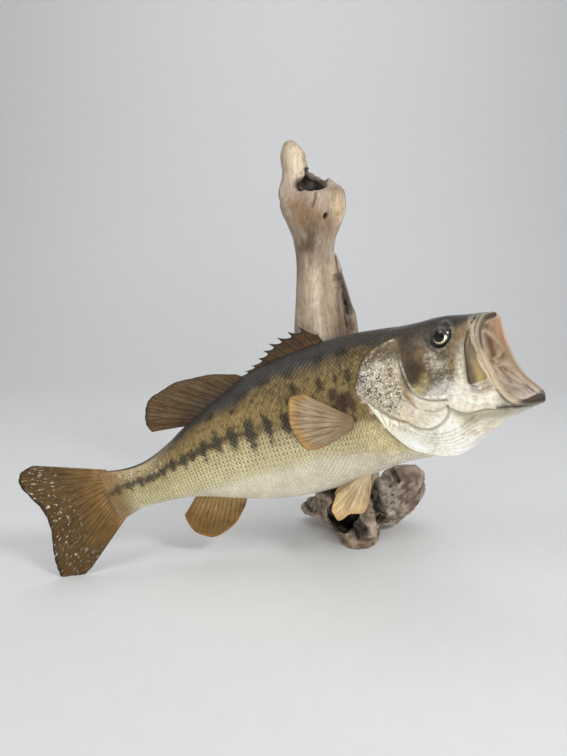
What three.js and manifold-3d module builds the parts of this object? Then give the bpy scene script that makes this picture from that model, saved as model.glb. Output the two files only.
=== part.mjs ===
// A mounted largemouth bass on a piece of driftwood, life size, in millimetres.
// +X runs from the tail towards the head, -Y faces the side on show, +Z is up.
// The origin is on the floor, under the front of the driftwood's root.
import * as THREE from "three";
import { LoftGeometry } from "three/addons/geometries/LoftGeometry.js";
import { mergeVertices } from "three/addons/utils/BufferGeometryUtils.js";
import Module from "manifold-3d";

const wasm = await Module();
wasm.setup();

const vec = (x, y, z) => new THREE.Vector3(x, y, z);
const clamp = (x) => Math.min(1, Math.max(0, x));
const mix = (a, b, share) => a + (b - a) * share;
const shares = (count) => Array.from({ length: count + 1 }, (_, i) => i / count);

// ---------- driving dimensions ----------

const gap = 0.3; // left between pieces that touch

// The fish's centreline, from the root of the tail fin to the middle of the gape.
const centreline = new THREE.CatmullRomCurve3(
  [
    vec(-272, -67, 90),
    vec(-185, -47, 125),
    vec(-95, -39, 152),
    vec(-12, -56, 181),
    vec(49, -97, 208),
    vec(114, -162, 247),
  ],
  false,
  "centripetal",
);
const length = centreline.getLength();

// Body sections: [place on the centreline, height above it, depth below it, half width].
const sections = [
  [0.0, 26, 35, 7],
  [0.05, 18, 33, 11],
  [0.1, 16, 37, 14],
  [0.16, 23, 44, 19],
  [0.22, 36, 54, 24],
  [0.3, 53, 68, 30],
  [0.4, 70, 80, 36],
  [0.51, 77, 82, 40],
  [0.62, 78, 75, 43],
  [0.71, 74, 68, 45],
  [0.79, 67, 66, 45],
  [0.85, 62, 66, 44],
  [0.9, 57, 55, 41],
  [0.95, 52, 47, 37],
  [1.0, 45, 40, 33],
];

// The rim of the open mouth from the snout down to the tip of the lower jaw, measured
// from the snout in the head's own directions: [forward, sideways, up].
const snoutHeight = 45; // of the snout above the end of the centreline
const rim = [
  [-1, 0, -3],
  [-5, 14, -5],
  [-9, 21.5, -15],
  [-10, 23.5, -30],
  [-8, 23, -46],
  [-4, 26, -60],
  [3, 28, -72],
  [10, 19, -79],
  [18, 0, -81],
];
const lip = 4.5; // thickness of the flesh round the mouth
const mouthDepth = 88;

// Where the flesh is parted, as places on the centreline.
const partings = { tailStalk: 0.2, midTrunk: 0.47, gills: 0.755 };

const eye = { radius: 10, forward: -43, sideways: 24, up: -5, flatness: 0.8 };

// The gill cover between its front and rear edges: [place, turn] from the top down.
const gillCover = {
  front: [[0.8, 0.13], [0.815, 0.19], [0.821, 0.227], [0.835, 0.265], [0.85, 0.3], [0.845, 0.34]],
  rear: [[0.745, 0.115], [0.705, 0.172], [0.69, 0.222], [0.715, 0.262], [0.744, 0.305], [0.785, 0.35]],
  thickness: [3, 7.5], // at the front and at the rear edge, thinning towards the throat
};

// The cheek plate over the upper jaw's side: [forward, sideways, up] from the top down.
const maxilla = {
  rear: [[-19, 29, -6], [-20, 33, -16], [-22, 35, -35], [-27, 37, -54], [-24, 37, -66]],
  front: [[-12, 23, -6], [-13, 28, -15], [-13, 31, -30], [-7, 33, -47], [-8, 35, -62]],
  thickness: 3.5,
  shift: { right: 0, left: -5 }, // the two sides don't gape quite alike
};

// Fins in the fish's middle plane: [place, height] along the root and along the edge,
// and how far the edge bends aside where it does.
const medianFins = {
  dorsal_fin_soft: {
    root: [[0.385, 66], [0.33, 55], [0.27, 43], [0.216, 31]],
    edge: [[0.345, 76], [0.29, 80], [0.24, 83.5], [0.195, 81.5], [0.16, 74.5], [0.143, 61], [0.14, 45]],
  },
  anal_fin: {
    root: [[0.305, -66], [0.26, -58], [0.22, -51], [0.178, -45]],
    edge: [[0.29, -78], [0.25, -94], [0.2, -101], [0.166, -100], [0.142, -91], [0.127, -78], [0.128, -62]],
  },
  tail_fin: {
    root: [[0.012, 25], [0.004, 12], [0, -3], [0.002, -18], [0.008, -33]],
    edge: [
      [-0.14, 61, 2],
      [-0.167, 56, 3],
      [-0.163, 30, 4],
      [-0.15, -2, 4],
      [-0.17, -28, 5],
      [-0.187, -58, 8],
      [-0.168, -80, 9],
    ],
  },
};

// The spiny fin: its rearmost and foremost spine root, and each spine's length and lean.
const spines = {
  roots: [0.602, 0.418],
  lengths: [9, 18, 24.5, 25, 23.5, 21, 18.5, 15, 11, 6],
  lean: 0.42, // how far a spine's tip lies behind its root, as a share of its length
  sag: 0.75, // height of the membrane between two spines, as a share of their length
};

// Paired fins: [place, height, distance sideways] along the root and along the edge.
const pairedFins = {
  pectoral_fin_right: {
    root: [[0.645, -15, 41], [0.638, -21, 42], [0.63, -28, 42]],
    edge: [[0.545, 37, 62], [0.505, 38, 68], [0.49, 15, 72], [0.501, -14, 68], [0.56, -25, 58]],
  },
  pectoral_fin_left: {
    root: [[0.645, -28, -42], [0.638, -21, -42], [0.63, -15, -41]],
    edge: [[0.7, -38, -88], [0.682, -57, -96], [0.655, -65, -98], [0.628, -60, -94], [0.61, -42, -84]],
  },
  pelvic_fin_right: {
    root: [[0.604, -69, 17], [0.621, -70, 15], [0.638, -70, 13]],
    edge: [[0.52, -82, 28], [0.5, -97, 32], [0.51, -108, 33], [0.55, -104, 30], [0.59, -109, 27], [0.632, -88, 19]],
  },
  pelvic_fin_left: {
    root: [[0.604, -69, -17], [0.621, -70, -15], [0.638, -70, -13]],
    edge: [[0.53, -86, -17], [0.51, -98, -15], [0.52, -107, -15], [0.56, -105, -15], [0.6, -106, -15], [0.636, -88, -14]],
  },
};
const finThickness = [3.2, 1.2]; // at the root and at the edge

// The driftwood's limbs as rows of [x, y, z, half width, half depth].
const limbs = {
  stem: [
    [8, 26, 20, 46, 34],
    [-8, 28, 75, 42, 32],
    [-34, 30, 130, 31, 28],
    [-39, 30, 190, 29, 28],
    [-42, 30, 255, 28, 26],
    [-46, 30, 293, 24.5, 24],
    [-48, 30, 334, 23, 22],
    [-49, 30, 364, 26, 24],
    [-49, 30, 391, 37, 28],
    [-49, 30, 408, 35, 26],
    [-50, 30, 421, 22, 19],
    [-51, 30, 427, 6, 6],
  ],
  spur: [
    [-62, 32, 392, 20, 18],
    [-69, 34, 424, 18, 16],
    [-73, 35, 441, 14, 13],
    [-75, 37, 458, 10.5, 10],
    [-79, 38, 475, 3.5, 3.5],
  ],
  strut: [
    [-14, 24, 200, 16, 16],
    [-8, 20, 258, 13, 13],
    [-13, 20, 293, 9.5, 10],
    [-19, 21, 322, 6, 8],
    [-26, 23, 347, 3, 5],
  ],
  front: [
    [2, -4, -4, 18, 22],
    [3, -4, 11, 25, 22],
    [-3, 0, 35, 35, 24],
    [-9, 6, 62, 42, 26],
    [-8, 14, 85, 36, 24],
  ],
  right: [
    [24, 28, 28, 26, 24],
    [47, 36, 31, 31, 28],
    [66, 40, 52, 33, 30],
    [82, 42, 68, 24, 24],
    [92, 44, 78, 8, 9],
  ],
  left: [
    [-16, 40, 34, 24, 22],
    [-38, 52, 22, 17, 22],
    [-55, 58, 19, 12, 16],
    [-64, 60, 20, 4, 7],
  ],
};
// Hollows in the wood: [x, y, z] of the middle, half sizes, and a tilt about Y.
const hollows = [
  { at: [-14, -20, 42], half: [17, 26, 24], tilt: 0.35 },
  { at: [33, -18, 44], half: [4.5, 20, 26], tilt: -0.15 },
  { at: [-51, 9, 426], half: [15, 20, 9], tilt: 0.25 },
  { at: [-25, 4, 296], half: [3, 12, 24], tilt: 0.25 },
];

// ---------- the fish's surface ----------

// A smooth curve through rows that start with a place: [place, value, value, ...].
function through(rows) {
  return (place) => {
    const next = rows.findIndex((row) => row[0] > place);
    const i = next === -1 ? rows.length - 2 : Math.max(0, next - 1);
    const [from, to] = [rows[i], rows[i + 1]];
    const before = rows[Math.max(0, i - 1)];
    const after = rows[Math.min(rows.length - 1, i + 2)];
    const span = to[0] - from[0];
    const x = clamp((place - from[0]) / span);
    return from.slice(1).map((value, k) => {
      const slopeIn = ((to[k + 1] - before[k + 1]) / (to[0] - before[0])) * span;
      const slopeOut = ((after[k + 1] - value) / (after[0] - from[0])) * span;
      const bend = slopeIn * (x - 2 * x ** 2 + x ** 3) + slopeOut * (x ** 3 - x ** 2);
      return mix(value, to[k + 1], x ** 2 * (3 - 2 * x)) + bend;
    });
  };
}
const sectionAt = through(sections);
const rimAt = through(rim.map((row, i) => [i / (rim.length - 1), ...row]));

// A point of the centreline with the fish's own directions there: along, side (to -Y)
// and up. Before its start the line runs on straight.
function frameAt(place) {
  const along = centreline.getTangentAt(clamp(place));
  const side = along.clone().cross(vec(0, 0, 1)).normalize();
  const up = side.clone().cross(along);
  const beyond = (place - clamp(place)) * length;
  const at = centreline.getPointAt(clamp(place)).addScaledVector(along, beyond);
  return { at, along, side, up };
}

// A point given by its place, its height above the centreline and its distance sideways.
function bodyFrame(place, height, sideways = 0) {
  const { at, side, up } = frameAt(place);
  return at.addScaledVector(up, height).addScaledVector(side, sideways);
}

// A point given from the snout: forward, sideways, up.
const headDirections = frameAt(1);
function fromSnout(forward, sideways, up) {
  const { at, along, side, up: rise } = headDirections;
  return at
    .clone()
    .addScaledVector(along, forward)
    .addScaledVector(side, sideways)
    .addScaledVector(rise, snoutHeight + up);
}

// turn is 0 on the back, 0.25 on the side on show and 0.5 under the belly.
function bodyPoint(place, turn, out) {
  const [above, below, half] = sectionAt(place);
  const angle = turn * 2 * Math.PI;
  const [sine, cosine] = [Math.sin(angle), Math.cos(angle)];
  const fullness = 1 - 0.1 * cosine; // wider below than above
  const height = ((cosine > 0 ? above : below) + out) * cosine;
  return bodyFrame(place, height, (half + out) * Math.sign(sine) * Math.abs(sine) ** 0.85 * fullness);
}

// The mouth's rim, grown outwards and moved back.
function rimPoint(turn, out, back) {
  const far = turn > 0.5;
  const [forward, sideways, up] = rimAt(2 * (far ? 1 - turn : turn));
  const away = new THREE.Vector2(sideways, up + snoutHeight).normalize().multiplyScalar(out);
  return fromSnout(forward - back, (far ? -1 : 1) * Math.max(0, sideways + away.x), up + away.y);
}

const neck = 0.82; // from here forward the body's sections turn into the mouth's rim
function surfacePoint(place, turn, out = 0) {
  const share = clamp((place - neck) / (1 - neck)) ** 2;
  return bodyPoint(place, turn, out).lerp(rimPoint(turn, lip + out, 4), share);
}

// The lip and the mouth's lining: 0 on the rim, 1 at the throat. Behind the rim it widens
// a little and draws in from the roof and the floor.
function liningPoint(share, turn) {
  const { at, along, side, up } = headDirections;
  const middle = at.clone().addScaledVector(along, -mouthDepth * share);
  const reach = rimPoint(turn, 0, mouthDepth * share).sub(middle);
  const swell = Math.sin(Math.PI * Math.min(1, 2 * share));
  const narrowing = 1 - 0.75 * share ** 2;
  const wide = narrowing + 0.12 * swell;
  const high = narrowing - 0.06 * swell;
  return middle
    .addScaledVector(along, reach.dot(along) * wide)
    .addScaledVector(side, reach.dot(side) * wide)
    .addScaledVector(up, reach.dot(up) * high);
}

// ---------- making solids ----------

// A closed mesh as a solid, without the flat triangles of a ring drawn in to a point.
function solid(geometry) {
  const bare = new THREE.BufferGeometry().setAttribute("position", geometry.getAttribute("position"));
  bare.setIndex(geometry.index);
  const merged = mergeVertices(bare, 1e-3);
  const corners = Array.from(merged.index.array);
  const triangles = Array.from({ length: corners.length / 3 }, (_, i) => corners.slice(3 * i, 3 * i + 3));
  const kept = triangles.filter(([a, b, c]) => a !== b && b !== c && c !== a);
  return new wasm.Manifold(
    new wasm.Mesh({
      numProp: 3,
      vertProperties: merged.attributes.position.array,
      triVerts: new Uint32Array(kept.flat()),
    }),
  );
}

// A solid through rings, closed where the first and the last are drawn in.
function loft(rings) {
  return solid(new LoftGeometry(rings));
}

function drawnIn(points) {
  const middle = points.reduce((sum, p) => sum.add(p), vec(0, 0, 0)).divideScalar(points.length);
  return points.map(() => middle.clone());
}

function closedLoft(rings) {
  return loft([drawnIn(rings[0]), ...rings, drawnIn(rings[rings.length - 1])]);
}

function ring(count, pointAt) {
  return Array.from({ length: count }, (_, i) => pointAt(i / count));
}

// Parts a solid at a plane: what lies ahead of it, and what lies behind.
function part(body, point, normal) {
  const facing = normal.clone().normalize();
  const offset = facing.dot(point);
  const ahead = body.trimByPlane(facing.toArray(), offset + gap / 2);
  const behind = body.trimByPlane(facing.clone().negate().toArray(), gap / 2 - offset);
  return [ahead, behind];
}

const model = new THREE.Group();
function add(name, body, color, roughness) {
  const { vertProperties, triVerts } = body.getMesh();
  const geometry = new THREE.BufferGeometry();
  geometry.setAttribute("position", new THREE.BufferAttribute(vertProperties, 3));
  geometry.setIndex(new THREE.BufferAttribute(triVerts, 1));
  const mesh = new THREE.Mesh(geometry, new THREE.MeshStandardMaterial({ color, roughness, metalness: 0 }));
  mesh.name = name;
  model.add(mesh);
}

const colours = {
  pupil: 0x1b1712,
  head: 0x5c5a3c,
  snout: 0x9c927c,
  jaw: 0xcdb79c,
  skin: 0x8d8255,
  pale: 0xd9cfae,
  gillCover: 0x9a916c,
  cheek: 0x8f8458,
  fin: 0x7d6a3f,
  pairedFin: 0xb08f5a,
  spinyFin: 0x4f4128,
  driftwood: 0x9a8c7e,
};
const wet = 0.25; // roughness of varnished skin
const dry = 0.85; // roughness of weathered wood

// ---------- flesh ----------

const around = 26;
const bodyPlaces = shares(13).map((x) => x * neck);
const headPlaces = shares(6).slice(1).map((x) => mix(neck, 1, x));
const outside = (out) => [...bodyPlaces, ...headPlaces].map((x) => ring(around, (turn) => surfacePoint(x, turn, out)));
const lipRing = ring(around, (turn) => rimPoint(turn, lip / 2, -1));
const lining = shares(6).slice(0, 6).map((x) => ring(around, (turn) => liningPoint(x, turn)));
const flesh = closedLoft([...outside(0), lipRing, ...lining]);
const fleshGrown = closedLoft(outside(gap));

function partAt(body, place) {
  const { at, along } = frameAt(place);
  return part(body, at, along);
}

const eyeSides = { right: 1, left: -1 };
function eyeball(side, grow) {
  const shape = new THREE.SphereGeometry(eye.radius + grow, 14, 8);
  shape.scale(1, 1, eye.flatness);
  const { along, side: outward, up } = headDirections;
  shape.applyMatrix4(new THREE.Matrix4().makeBasis(along, up, outward));
  shape.translate(...fromSnout(eye.forward, side * eye.sideways, eye.up));
  return solid(shape);
}

const [fore, stalk] = partAt(flesh, partings.tailStalk);
const [upFront, trunkRear] = partAt(fore, partings.midTrunk);
const [wholeHead, trunkFront] = partAt(upFront, partings.gills);

// The jaw parts from the head below the cheek, the throat behind the jaw, and the upper
// jaw ahead of the nostrils.
const acrossHead = (forward, up) => headDirections.along
  .clone()
  .multiplyScalar(forward)
  .addScaledVector(headDirections.up, up);
const [cranium, under] = part(wholeHead, fromSnout(-5, 0, -56), acrossHead(-0.22, 1));
const [lowerJaw, throat] = part(under, fromSnout(-38, 0, -60), acrossHead(1, 0.7));
const [upperJaw, head] = part(cranium, fromSnout(-20, 0, 0), acrossHead(1, 0));

let skull = head;
for (const [name, side] of Object.entries(eyeSides)) {
  skull = skull.subtract(eyeball(side, gap));
  add(`eye_${name}`, eyeball(side, 0), colours.pupil, 0.05);
}
add("head", skull, colours.head, wet);
add("upper_jaw", upperJaw, colours.snout, wet);
add("lower_jaw", lowerJaw, colours.jaw, wet);
add("throat", throat, colours.pale, wet);
add("trunk_front", trunkFront, colours.skin, wet);
add("trunk_rear", trunkRear, colours.skin, wet);
add("tail_stalk", stalk, colours.skin, wet);

// ---------- plates and fins ----------

const smooth = (points) => {
  const curve = new THREE.CatmullRomCurve3(points);
  return (x) => curve.getPoint(x);
};
const jagged = (points) => (x) => {
  const i = Math.min(points.length - 2, Math.floor(x * (points.length - 1)));
  return points[i].clone().lerp(points[i + 1], x * (points.length - 1) - i);
};
const between = (from, to) => (x, y) => from(x).lerp(to(x), y);

// A thin solid on both sides of the surface at(x, y), for x and y from 0 to 1.
function sheet(at, thickness, columns, rows) {
  const step = 1e-3;
  const offset = (x, y, side) => {
    const dx = at(clamp(x + step), y).sub(at(clamp(x - step), y));
    const dy = at(x, clamp(y + step)).sub(at(x, clamp(y - step)));
    return at(x, y).addScaledVector(dx.cross(dy).normalize(), (side * thickness(x, y)) / 2);
  };
  const section = (x, side) => [
    ...shares(rows).map((y) => offset(x, y, -side)),
    ...shares(rows).map((y) => offset(x, 1 - y, side)),
  ];
  const rings = shares(columns).map((x) => section(x, 1));
  return loft([section(0, 0), ...rings, section(1, 0)]);
}

for (const [name, side] of Object.entries(eyeSides)) {
  const turned = (turn) => (side > 0 ? turn : 1 - turn);
  const edge = (rows) => smooth(rows.map(([place, turn]) => vec(place, turn, 0)));
  const where = between(edge(gillCover.front), edge(gillCover.rear));
  const coverThickness = (x, y) => mix(...gillCover.thickness, y) * (1 - 0.6 * x ** 2);
  const cover = (x, y) => {
    const { x: place, y: turn } = where(x, y);
    return surfacePoint(place, turned(turn), coverThickness(x, y) / 2);
  };
  const coverSolid = sheet(cover, coverThickness, 9, 3);
  add(`gill_cover_${name}`, coverSolid.subtract(fleshGrown), colours.gillCover, wet);

  const jawEdge = (rows) => smooth(
    rows.map(([forward, sideways, up]) => fromSnout(forward + maxilla.shift[name], side * sideways, up)),
  );
  const cheek = between(jawEdge(maxilla.rear), jawEdge(maxilla.front));
  const cheekSolid = sheet(cheek, () => maxilla.thickness, 8, 2);
  add(`maxilla_${name}`, cheekSolid.subtract(fleshGrown), colours.cheek, wet);
}

const finThick = (x, y) => mix(...finThickness, y);
const inBody = (rows) => smooth(rows.map((row) => bodyFrame(...row)));
for (const [name, { root, edge }] of Object.entries(medianFins)) {
  const fin = sheet(between(inBody(root), inBody(edge)), finThick, 14, 3);
  add(name, fin.subtract(fleshGrown).trimByPlane([0, 0, 1], 0), colours.fin, wet);
}
for (const [name, { root, edge }] of Object.entries(pairedFins)) {
  const fin = sheet(between(inBody(root), inBody(edge)), finThick, 12, 3);
  add(name, fin.subtract(fleshGrown), colours.pairedFin, wet);
}

// Each spine leans back over the next, with the membrane slung lower between them.
const spineRoot = (i) => {
  const place = mix(...spines.roots, i / (spines.lengths.length - 1));
  return [place, sectionAt(place)[0]];
};
const spineTip = (i, reach) => {
  const [place, height] = spineRoot(i);
  return bodyFrame(place - (spines.lean * reach) / length, height + reach);
};
const spinePoints = spines.lengths.flatMap((reach, i) => [
  spineTip(i, reach),
  spineTip(i + 0.55, reach * spines.sag),
]);
const spineRoots = shares(8).map((x) => {
  const [place, height] = spineRoot(x * (spines.lengths.length - 0.5));
  return bodyFrame(place, height - 4);
});
const spinyFin = sheet(between(smooth(spineRoots), jagged(spinePoints)), finThick, spinePoints.length - 1, 3);
add("dorsal_fin_spiny", spinyFin.subtract(fleshGrown), colours.spinyFin, wet);

// ---------- driftwood ----------

// A limb of weathered wood along its rows, its round sections worn into ridges.
function limb(rows, sides = 12) {
  const path = new THREE.CatmullRomCurve3(rows.map(([x, y, z]) => vec(x, y, z)));
  const sizeAt = through(rows.map(([, , , wide, deep], i) => [i / (rows.length - 1), wide, deep]));
  const count = (rows.length - 1) * 2;
  const rings = shares(count).map((x) => {
    const tangent = path.getTangent(x);
    const across = vec(0, 1, 0).cross(tangent).normalize();
    const behind = tangent.clone().cross(across);
    const [wide, deep] = sizeAt(x);
    const centre = path.getPoint(x);
    return ring(sides, (turn) => {
      const angle = turn * 2 * Math.PI;
      const ridges = 1 + 0.05 * Math.sin(3 * angle + centre.z / 40) + 0.03 * Math.sin(5 * angle - centre.z / 25);
      return centre
        .clone()
        .addScaledVector(across, wide * ridges * Math.cos(angle))
        .addScaledVector(behind, deep * ridges * Math.sin(angle));
    });
  });
  return closedLoft(rings);
}

function hollow({ at, half, tilt }) {
  const shape = new THREE.SphereGeometry(1, 12, 8);
  shape.scale(...half);
  shape.rotateY(tilt);
  shape.translate(...at);
  return solid(shape);
}

let wood = Object.values(limbs).map((rows) => limb(rows)).reduce((joined, next) => joined.add(next));
for (const shape of hollows) wood = wood.subtract(hollow(shape));
wood = wood.subtract(fleshGrown).trimByPlane([0, 0, 1], 0);
add("driftwood", wood, colours.driftwood, dry);

export default model;
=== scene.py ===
import math

import bmesh
import bpy
import numpy as np
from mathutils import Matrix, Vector, noise


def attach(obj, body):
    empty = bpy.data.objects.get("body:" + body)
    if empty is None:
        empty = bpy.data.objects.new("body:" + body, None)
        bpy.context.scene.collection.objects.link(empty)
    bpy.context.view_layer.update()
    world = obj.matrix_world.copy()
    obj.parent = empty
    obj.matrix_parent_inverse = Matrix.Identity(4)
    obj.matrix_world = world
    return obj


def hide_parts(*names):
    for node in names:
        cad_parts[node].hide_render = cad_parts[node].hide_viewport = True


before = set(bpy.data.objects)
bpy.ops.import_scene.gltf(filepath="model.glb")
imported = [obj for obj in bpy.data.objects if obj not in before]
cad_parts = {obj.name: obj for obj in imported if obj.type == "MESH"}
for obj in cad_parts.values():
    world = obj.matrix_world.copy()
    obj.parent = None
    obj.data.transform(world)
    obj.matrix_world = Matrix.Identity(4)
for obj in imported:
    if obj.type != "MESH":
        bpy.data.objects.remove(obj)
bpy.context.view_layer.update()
bpy.context.scene.view_settings.view_transform = "Standard"

# camera, floor and light

# the camera looks down by 555 in 3048
camera = {"place": (-0.085, -0.640, 0.320), "down": math.atan(555 / 3048), "lens": 26.43}
studio = {
    "floorPaint": (0.77, 0.77, 0.765),
    "wallPaint": (0.8, 0.8, 0.8),
    "wallPlace": 2.2,  # of the backdrop behind the piece, along +Y
    "reach": 3.0,
    "bend": 1.2,
    "rise": 1.6,
    "world": 0.36,
    "sky": (0.93, 0.96, 1.0, 1),
    "aim": (-0.08, -0.05, 0.2),  # where lamps point that have no aim of their own
}
lamps = {
    "keyLamp": {"place": (0.8, -0.95, 1.2), "size": 0.36, "power": 9.5},
    "fillLamp": {"place": (-0.95, -0.75, 1.2), "size": 0.6, "power": 4.0},
    "wallLamp": {"place": (0.0, 0.6, 1.9), "aim": (0.0, 2.4, 0.2), "size": 2.0, "power": 12.0},
    "frontLamp": {"place": (0.15, -1.4, 0.24), "size": 0.55, "power": 8.5},
    "topLamp": {"place": (0.0, -0.1, 1.7), "size": 1.2, "power": 1.3},
}


def makeCamera():
    lens = bpy.data.cameras.new("camera")
    lens.lens = camera["lens"]
    lens.clip_start = 0.01
    seat = bpy.data.objects.new("camera", lens)
    seat.location = camera["place"]
    seat.rotation_euler = (math.pi / 2 - camera["down"], 0, 0)
    bpy.context.scene.collection.objects.link(seat)
    bpy.context.scene.camera = seat


def makeLamps():
    for name, lamp in lamps.items():
        light = bpy.data.lights.new(name, "AREA")
        light.energy = lamp["power"]
        light.size = lamp["size"]
        seat = bpy.data.objects.new(name, light)
        seat.location = lamp["place"]
        seat.visible_camera = False
        seat.rotation_mode = "QUATERNION"
        aim = Vector(lamp.get("aim", studio["aim"]))
        seat.rotation_quaternion = (Vector(lamp["place"]) - aim).to_track_quat("Z", "Y")
        bpy.context.scene.collection.objects.link(seat)
    world = bpy.data.worlds.new("studio")
    world.use_nodes = True
    backdrop = world.node_tree.nodes["Background"]
    backdrop.inputs["Color"].default_value = studio["sky"]
    backdrop.inputs["Strength"].default_value = studio["world"]
    bpy.context.scene.world = world


# node building


def feed(tree, socket, value):
    if isinstance(value, bpy.types.NodeSocket):
        tree.links.new(value, socket)
    else:
        socket.default_value = value


def node(tree, kind, inputs=None, **settings):
    made = tree.nodes.new(kind)
    for key, value in settings.items():
        setattr(made, key, value)
    for key, value in (inputs or {}).items():
        feed(tree, made.inputs[key], value)
    return made


def maths(tree, operation, first, second=0.0, clamped=False):
    made = node(tree, "ShaderNodeMath", {0: first, 1: second}, operation=operation, use_clamp=clamped)
    return made.outputs[0]


def plus(tree, first, second):
    return maths(tree, "ADD", first, second)


def minus(tree, first, second):
    return maths(tree, "SUBTRACT", first, second)


def times(tree, first, second, clamped=False):
    return maths(tree, "MULTIPLY", first, second, clamped)


def noiseTexture(tree, where, scale, detail, roughness=0.5):
    inputs = {"Vector": where, "Scale": scale, "Detail": detail, "Roughness": roughness}
    return node(tree, "ShaderNodeTexNoise", inputs)


def objectPlace(tree):
    return node(tree, "ShaderNodeTexCoord").outputs["Object"]


def ramp(tree, factor, stops):
    made = node(tree, "ShaderNodeValToRGB", {"Fac": factor})
    band = made.color_ramp
    while len(band.elements) < len(stops):
        band.elements.new(0.5)
    for element, (place, value) in zip(band.elements, stops):
        element.position = place
        element.color = (*value, 1) if isinstance(value, tuple) else (value, value, value, 1)
    return made.outputs["Color"]


def blendColours(tree, factor, first, second, kind="MIX"):
    inputs = {0: factor, 6: first, 7: second}
    return node(tree, "ShaderNodeMix", inputs, data_type="RGBA", blend_type=kind).outputs[2]


def group(name, inputs, outputs):
    tree = bpy.data.node_groups.new(name, "ShaderNodeTree")
    kinds = {"colour": "NodeSocketColor", "value": "NodeSocketFloat"}
    for label, (kind, start) in inputs.items():
        socket = tree.interface.new_socket(label, in_out="INPUT", socket_type=kinds[kind])
        if start is not None:
            socket.default_value = start
    for label, kind in outputs.items():
        tree.interface.new_socket(label, in_out="OUTPUT", socket_type=kinds[kind])
    return tree, tree.nodes.new("NodeGroupInput"), tree.nodes.new("NodeGroupOutput")


def place(tree, effect, inputs):
    return node(tree, "ShaderNodeGroup", inputs, node_tree=effect).outputs


def attribute(tree, name):
    return node(tree, "ShaderNodeAttribute", attribute_name=name, attribute_type="GEOMETRY")


def finishParts(tree):
    finish = attribute(tree, "finish").outputs["Color"]
    return node(tree, "ShaderNodeSeparateColor", {"Color": finish}).outputs


def addBump(tree, shader, height, strength, distance):
    bump = node(tree, "ShaderNodeBump", {"Height": height, "Strength": strength, "Distance": distance})
    tree.links.new(bump.outputs[0], shader.inputs["Normal"])


def newMaterial(name, constants):
    made = bpy.data.materials.new(name)
    made.use_nodes = True
    shader = made.node_tree.nodes["Principled BSDF"]
    for key, value in constants.items():
        shader.inputs[key].default_value = value
    return made, made.node_tree, shader


# effects that several materials share


def makeFlecks():
    # uneven paint: a colour that wavers in brightness, and its height
    tree, given, out = group(
        "flecks",
        {
            "Color": ("colour", None), "Scale": ("value", 600.0), "Amount": ("value", 0.3),
            "Warm": ("value", 0.1)
        },
        {"Color": "colour", "Height": "value"},
    )
    where = objectPlace(tree)
    fine = noiseTexture(tree, where, given.outputs["Scale"], 4.0)
    broad = noiseTexture(tree, where, 95.0, 3.0)
    both = plus(tree, times(tree, fine.outputs[0], 0.65), times(tree, broad.outputs[0], 0.35))
    swing = times(tree, minus(tree, both, 0.5), given.outputs["Amount"])
    lift = plus(tree, times(tree, swing, 2.0), 1.0)
    toned = node(tree, "ShaderNodeVectorMath", {0: given.outputs["Color"], "Scale": lift}, operation="SCALE")
    warmth = times(tree, broad.outputs[0], given.outputs["Warm"])
    warmed = blendColours(tree, warmth, toned.outputs[0], (0.55, 0.33, 0.12, 1))
    tree.links.new(warmed, out.inputs["Color"])
    tree.links.new(both, out.inputs["Height"])
    return tree


flecks = makeFlecks()

# the fish's surface, in metres

centreline = [
    (-0.272, -0.067, 0.090),
    (-0.185, -0.047, 0.125),
    (-0.095, -0.039, 0.152),
    (-0.012, -0.056, 0.181),
    (0.049, -0.097, 0.208),
    (0.114, -0.162, 0.247),
]
# place on the centreline, height above it, depth below it, half width, in millimetres
sections = [
    [0.0, 26, 35, 7],
    [0.05, 18, 33, 11],
    [0.1, 16, 37, 14],
    [0.16, 23, 44, 19],
    [0.22, 36, 54, 24],
    [0.3, 53, 68, 30],
    [0.4, 70, 80, 36],
    [0.51, 77, 82, 40],
    [0.62, 78, 75, 43],
    [0.71, 74, 68, 45],
    [0.79, 67, 66, 45],
    [0.85, 62, 66, 44],
    [0.9, 57, 55, 41],
    [0.95, 52, 47, 37],
    [1.0, 45, 40, 33],
]
# the mouth's rim from the snout to the jaw's tip: forward, sideways and up from the snout
rim = [
    [-1, 0, -3],
    [-5, 14, -5],
    [-9, 21.5, -15],
    [-10, 23.5, -30],
    [-8, 23, -46],
    [-4, 26, -60],
    [3, 28, -72],
    [10, 19, -79],
    [18, 0, -81],
]
snoutHeight = 45
lip = 4.5
lipBack = 4  # from the rim to where the outer skin ends
mouthDepth = 88
neck = 0.82


def near0to1(x):
    return np.clip(x, 0, 1)


def smoothStep(low, high, x):
    share = near0to1((x - low) / (high - low))
    return share * share * (3 - 2 * share)


def hill(x, middle, width):
    # 1 at the middle, falling off smoothly to both sides
    return np.exp(-(((x - middle) / width) ** 2))


def fromBack(turn):
    # the turn on either side, from 0 on the back to 0.5 under the belly
    return np.minimum(turn % 1, 1 - turn % 1)


def spline(points):
    # a centripetal curve through points, for shares from 0 to 1
    points = np.asarray(points, float)
    count = len(points)
    chain = np.vstack([2 * points[0] - points[1], points, 2 * points[-1] - points[-2]])

    def at(share):
        along = near0to1(np.asarray(share, float)) * (count - 1)
        i = np.minimum(np.floor(along).astype(int), count - 2)
        x = (along - i)[..., None]
        p0, p1, p2, p3 = (chain[i + k] for k in range(4))
        gaps = [
            np.maximum(((b - a) ** 2).sum(-1, keepdims=True) ** 0.25, 1e-9)
            for a, b in ((p0, p1), (p1, p2), (p2, p3))
        ]
        d0, d1, d2 = gaps
        start = ((p1 - p0) / d0 - (p2 - p0) / (d0 + d1) + (p2 - p1) / d1) * d1
        end = ((p2 - p1) / d1 - (p3 - p1) / (d1 + d2) + (p3 - p2) / d2) * d1
        return p1 + start * x + (
            3 * (p2 - p1) - 2 * start - end
        ) * x**2 + (2 * (p1 - p2) + start + end) * x**3

    return at


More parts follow.
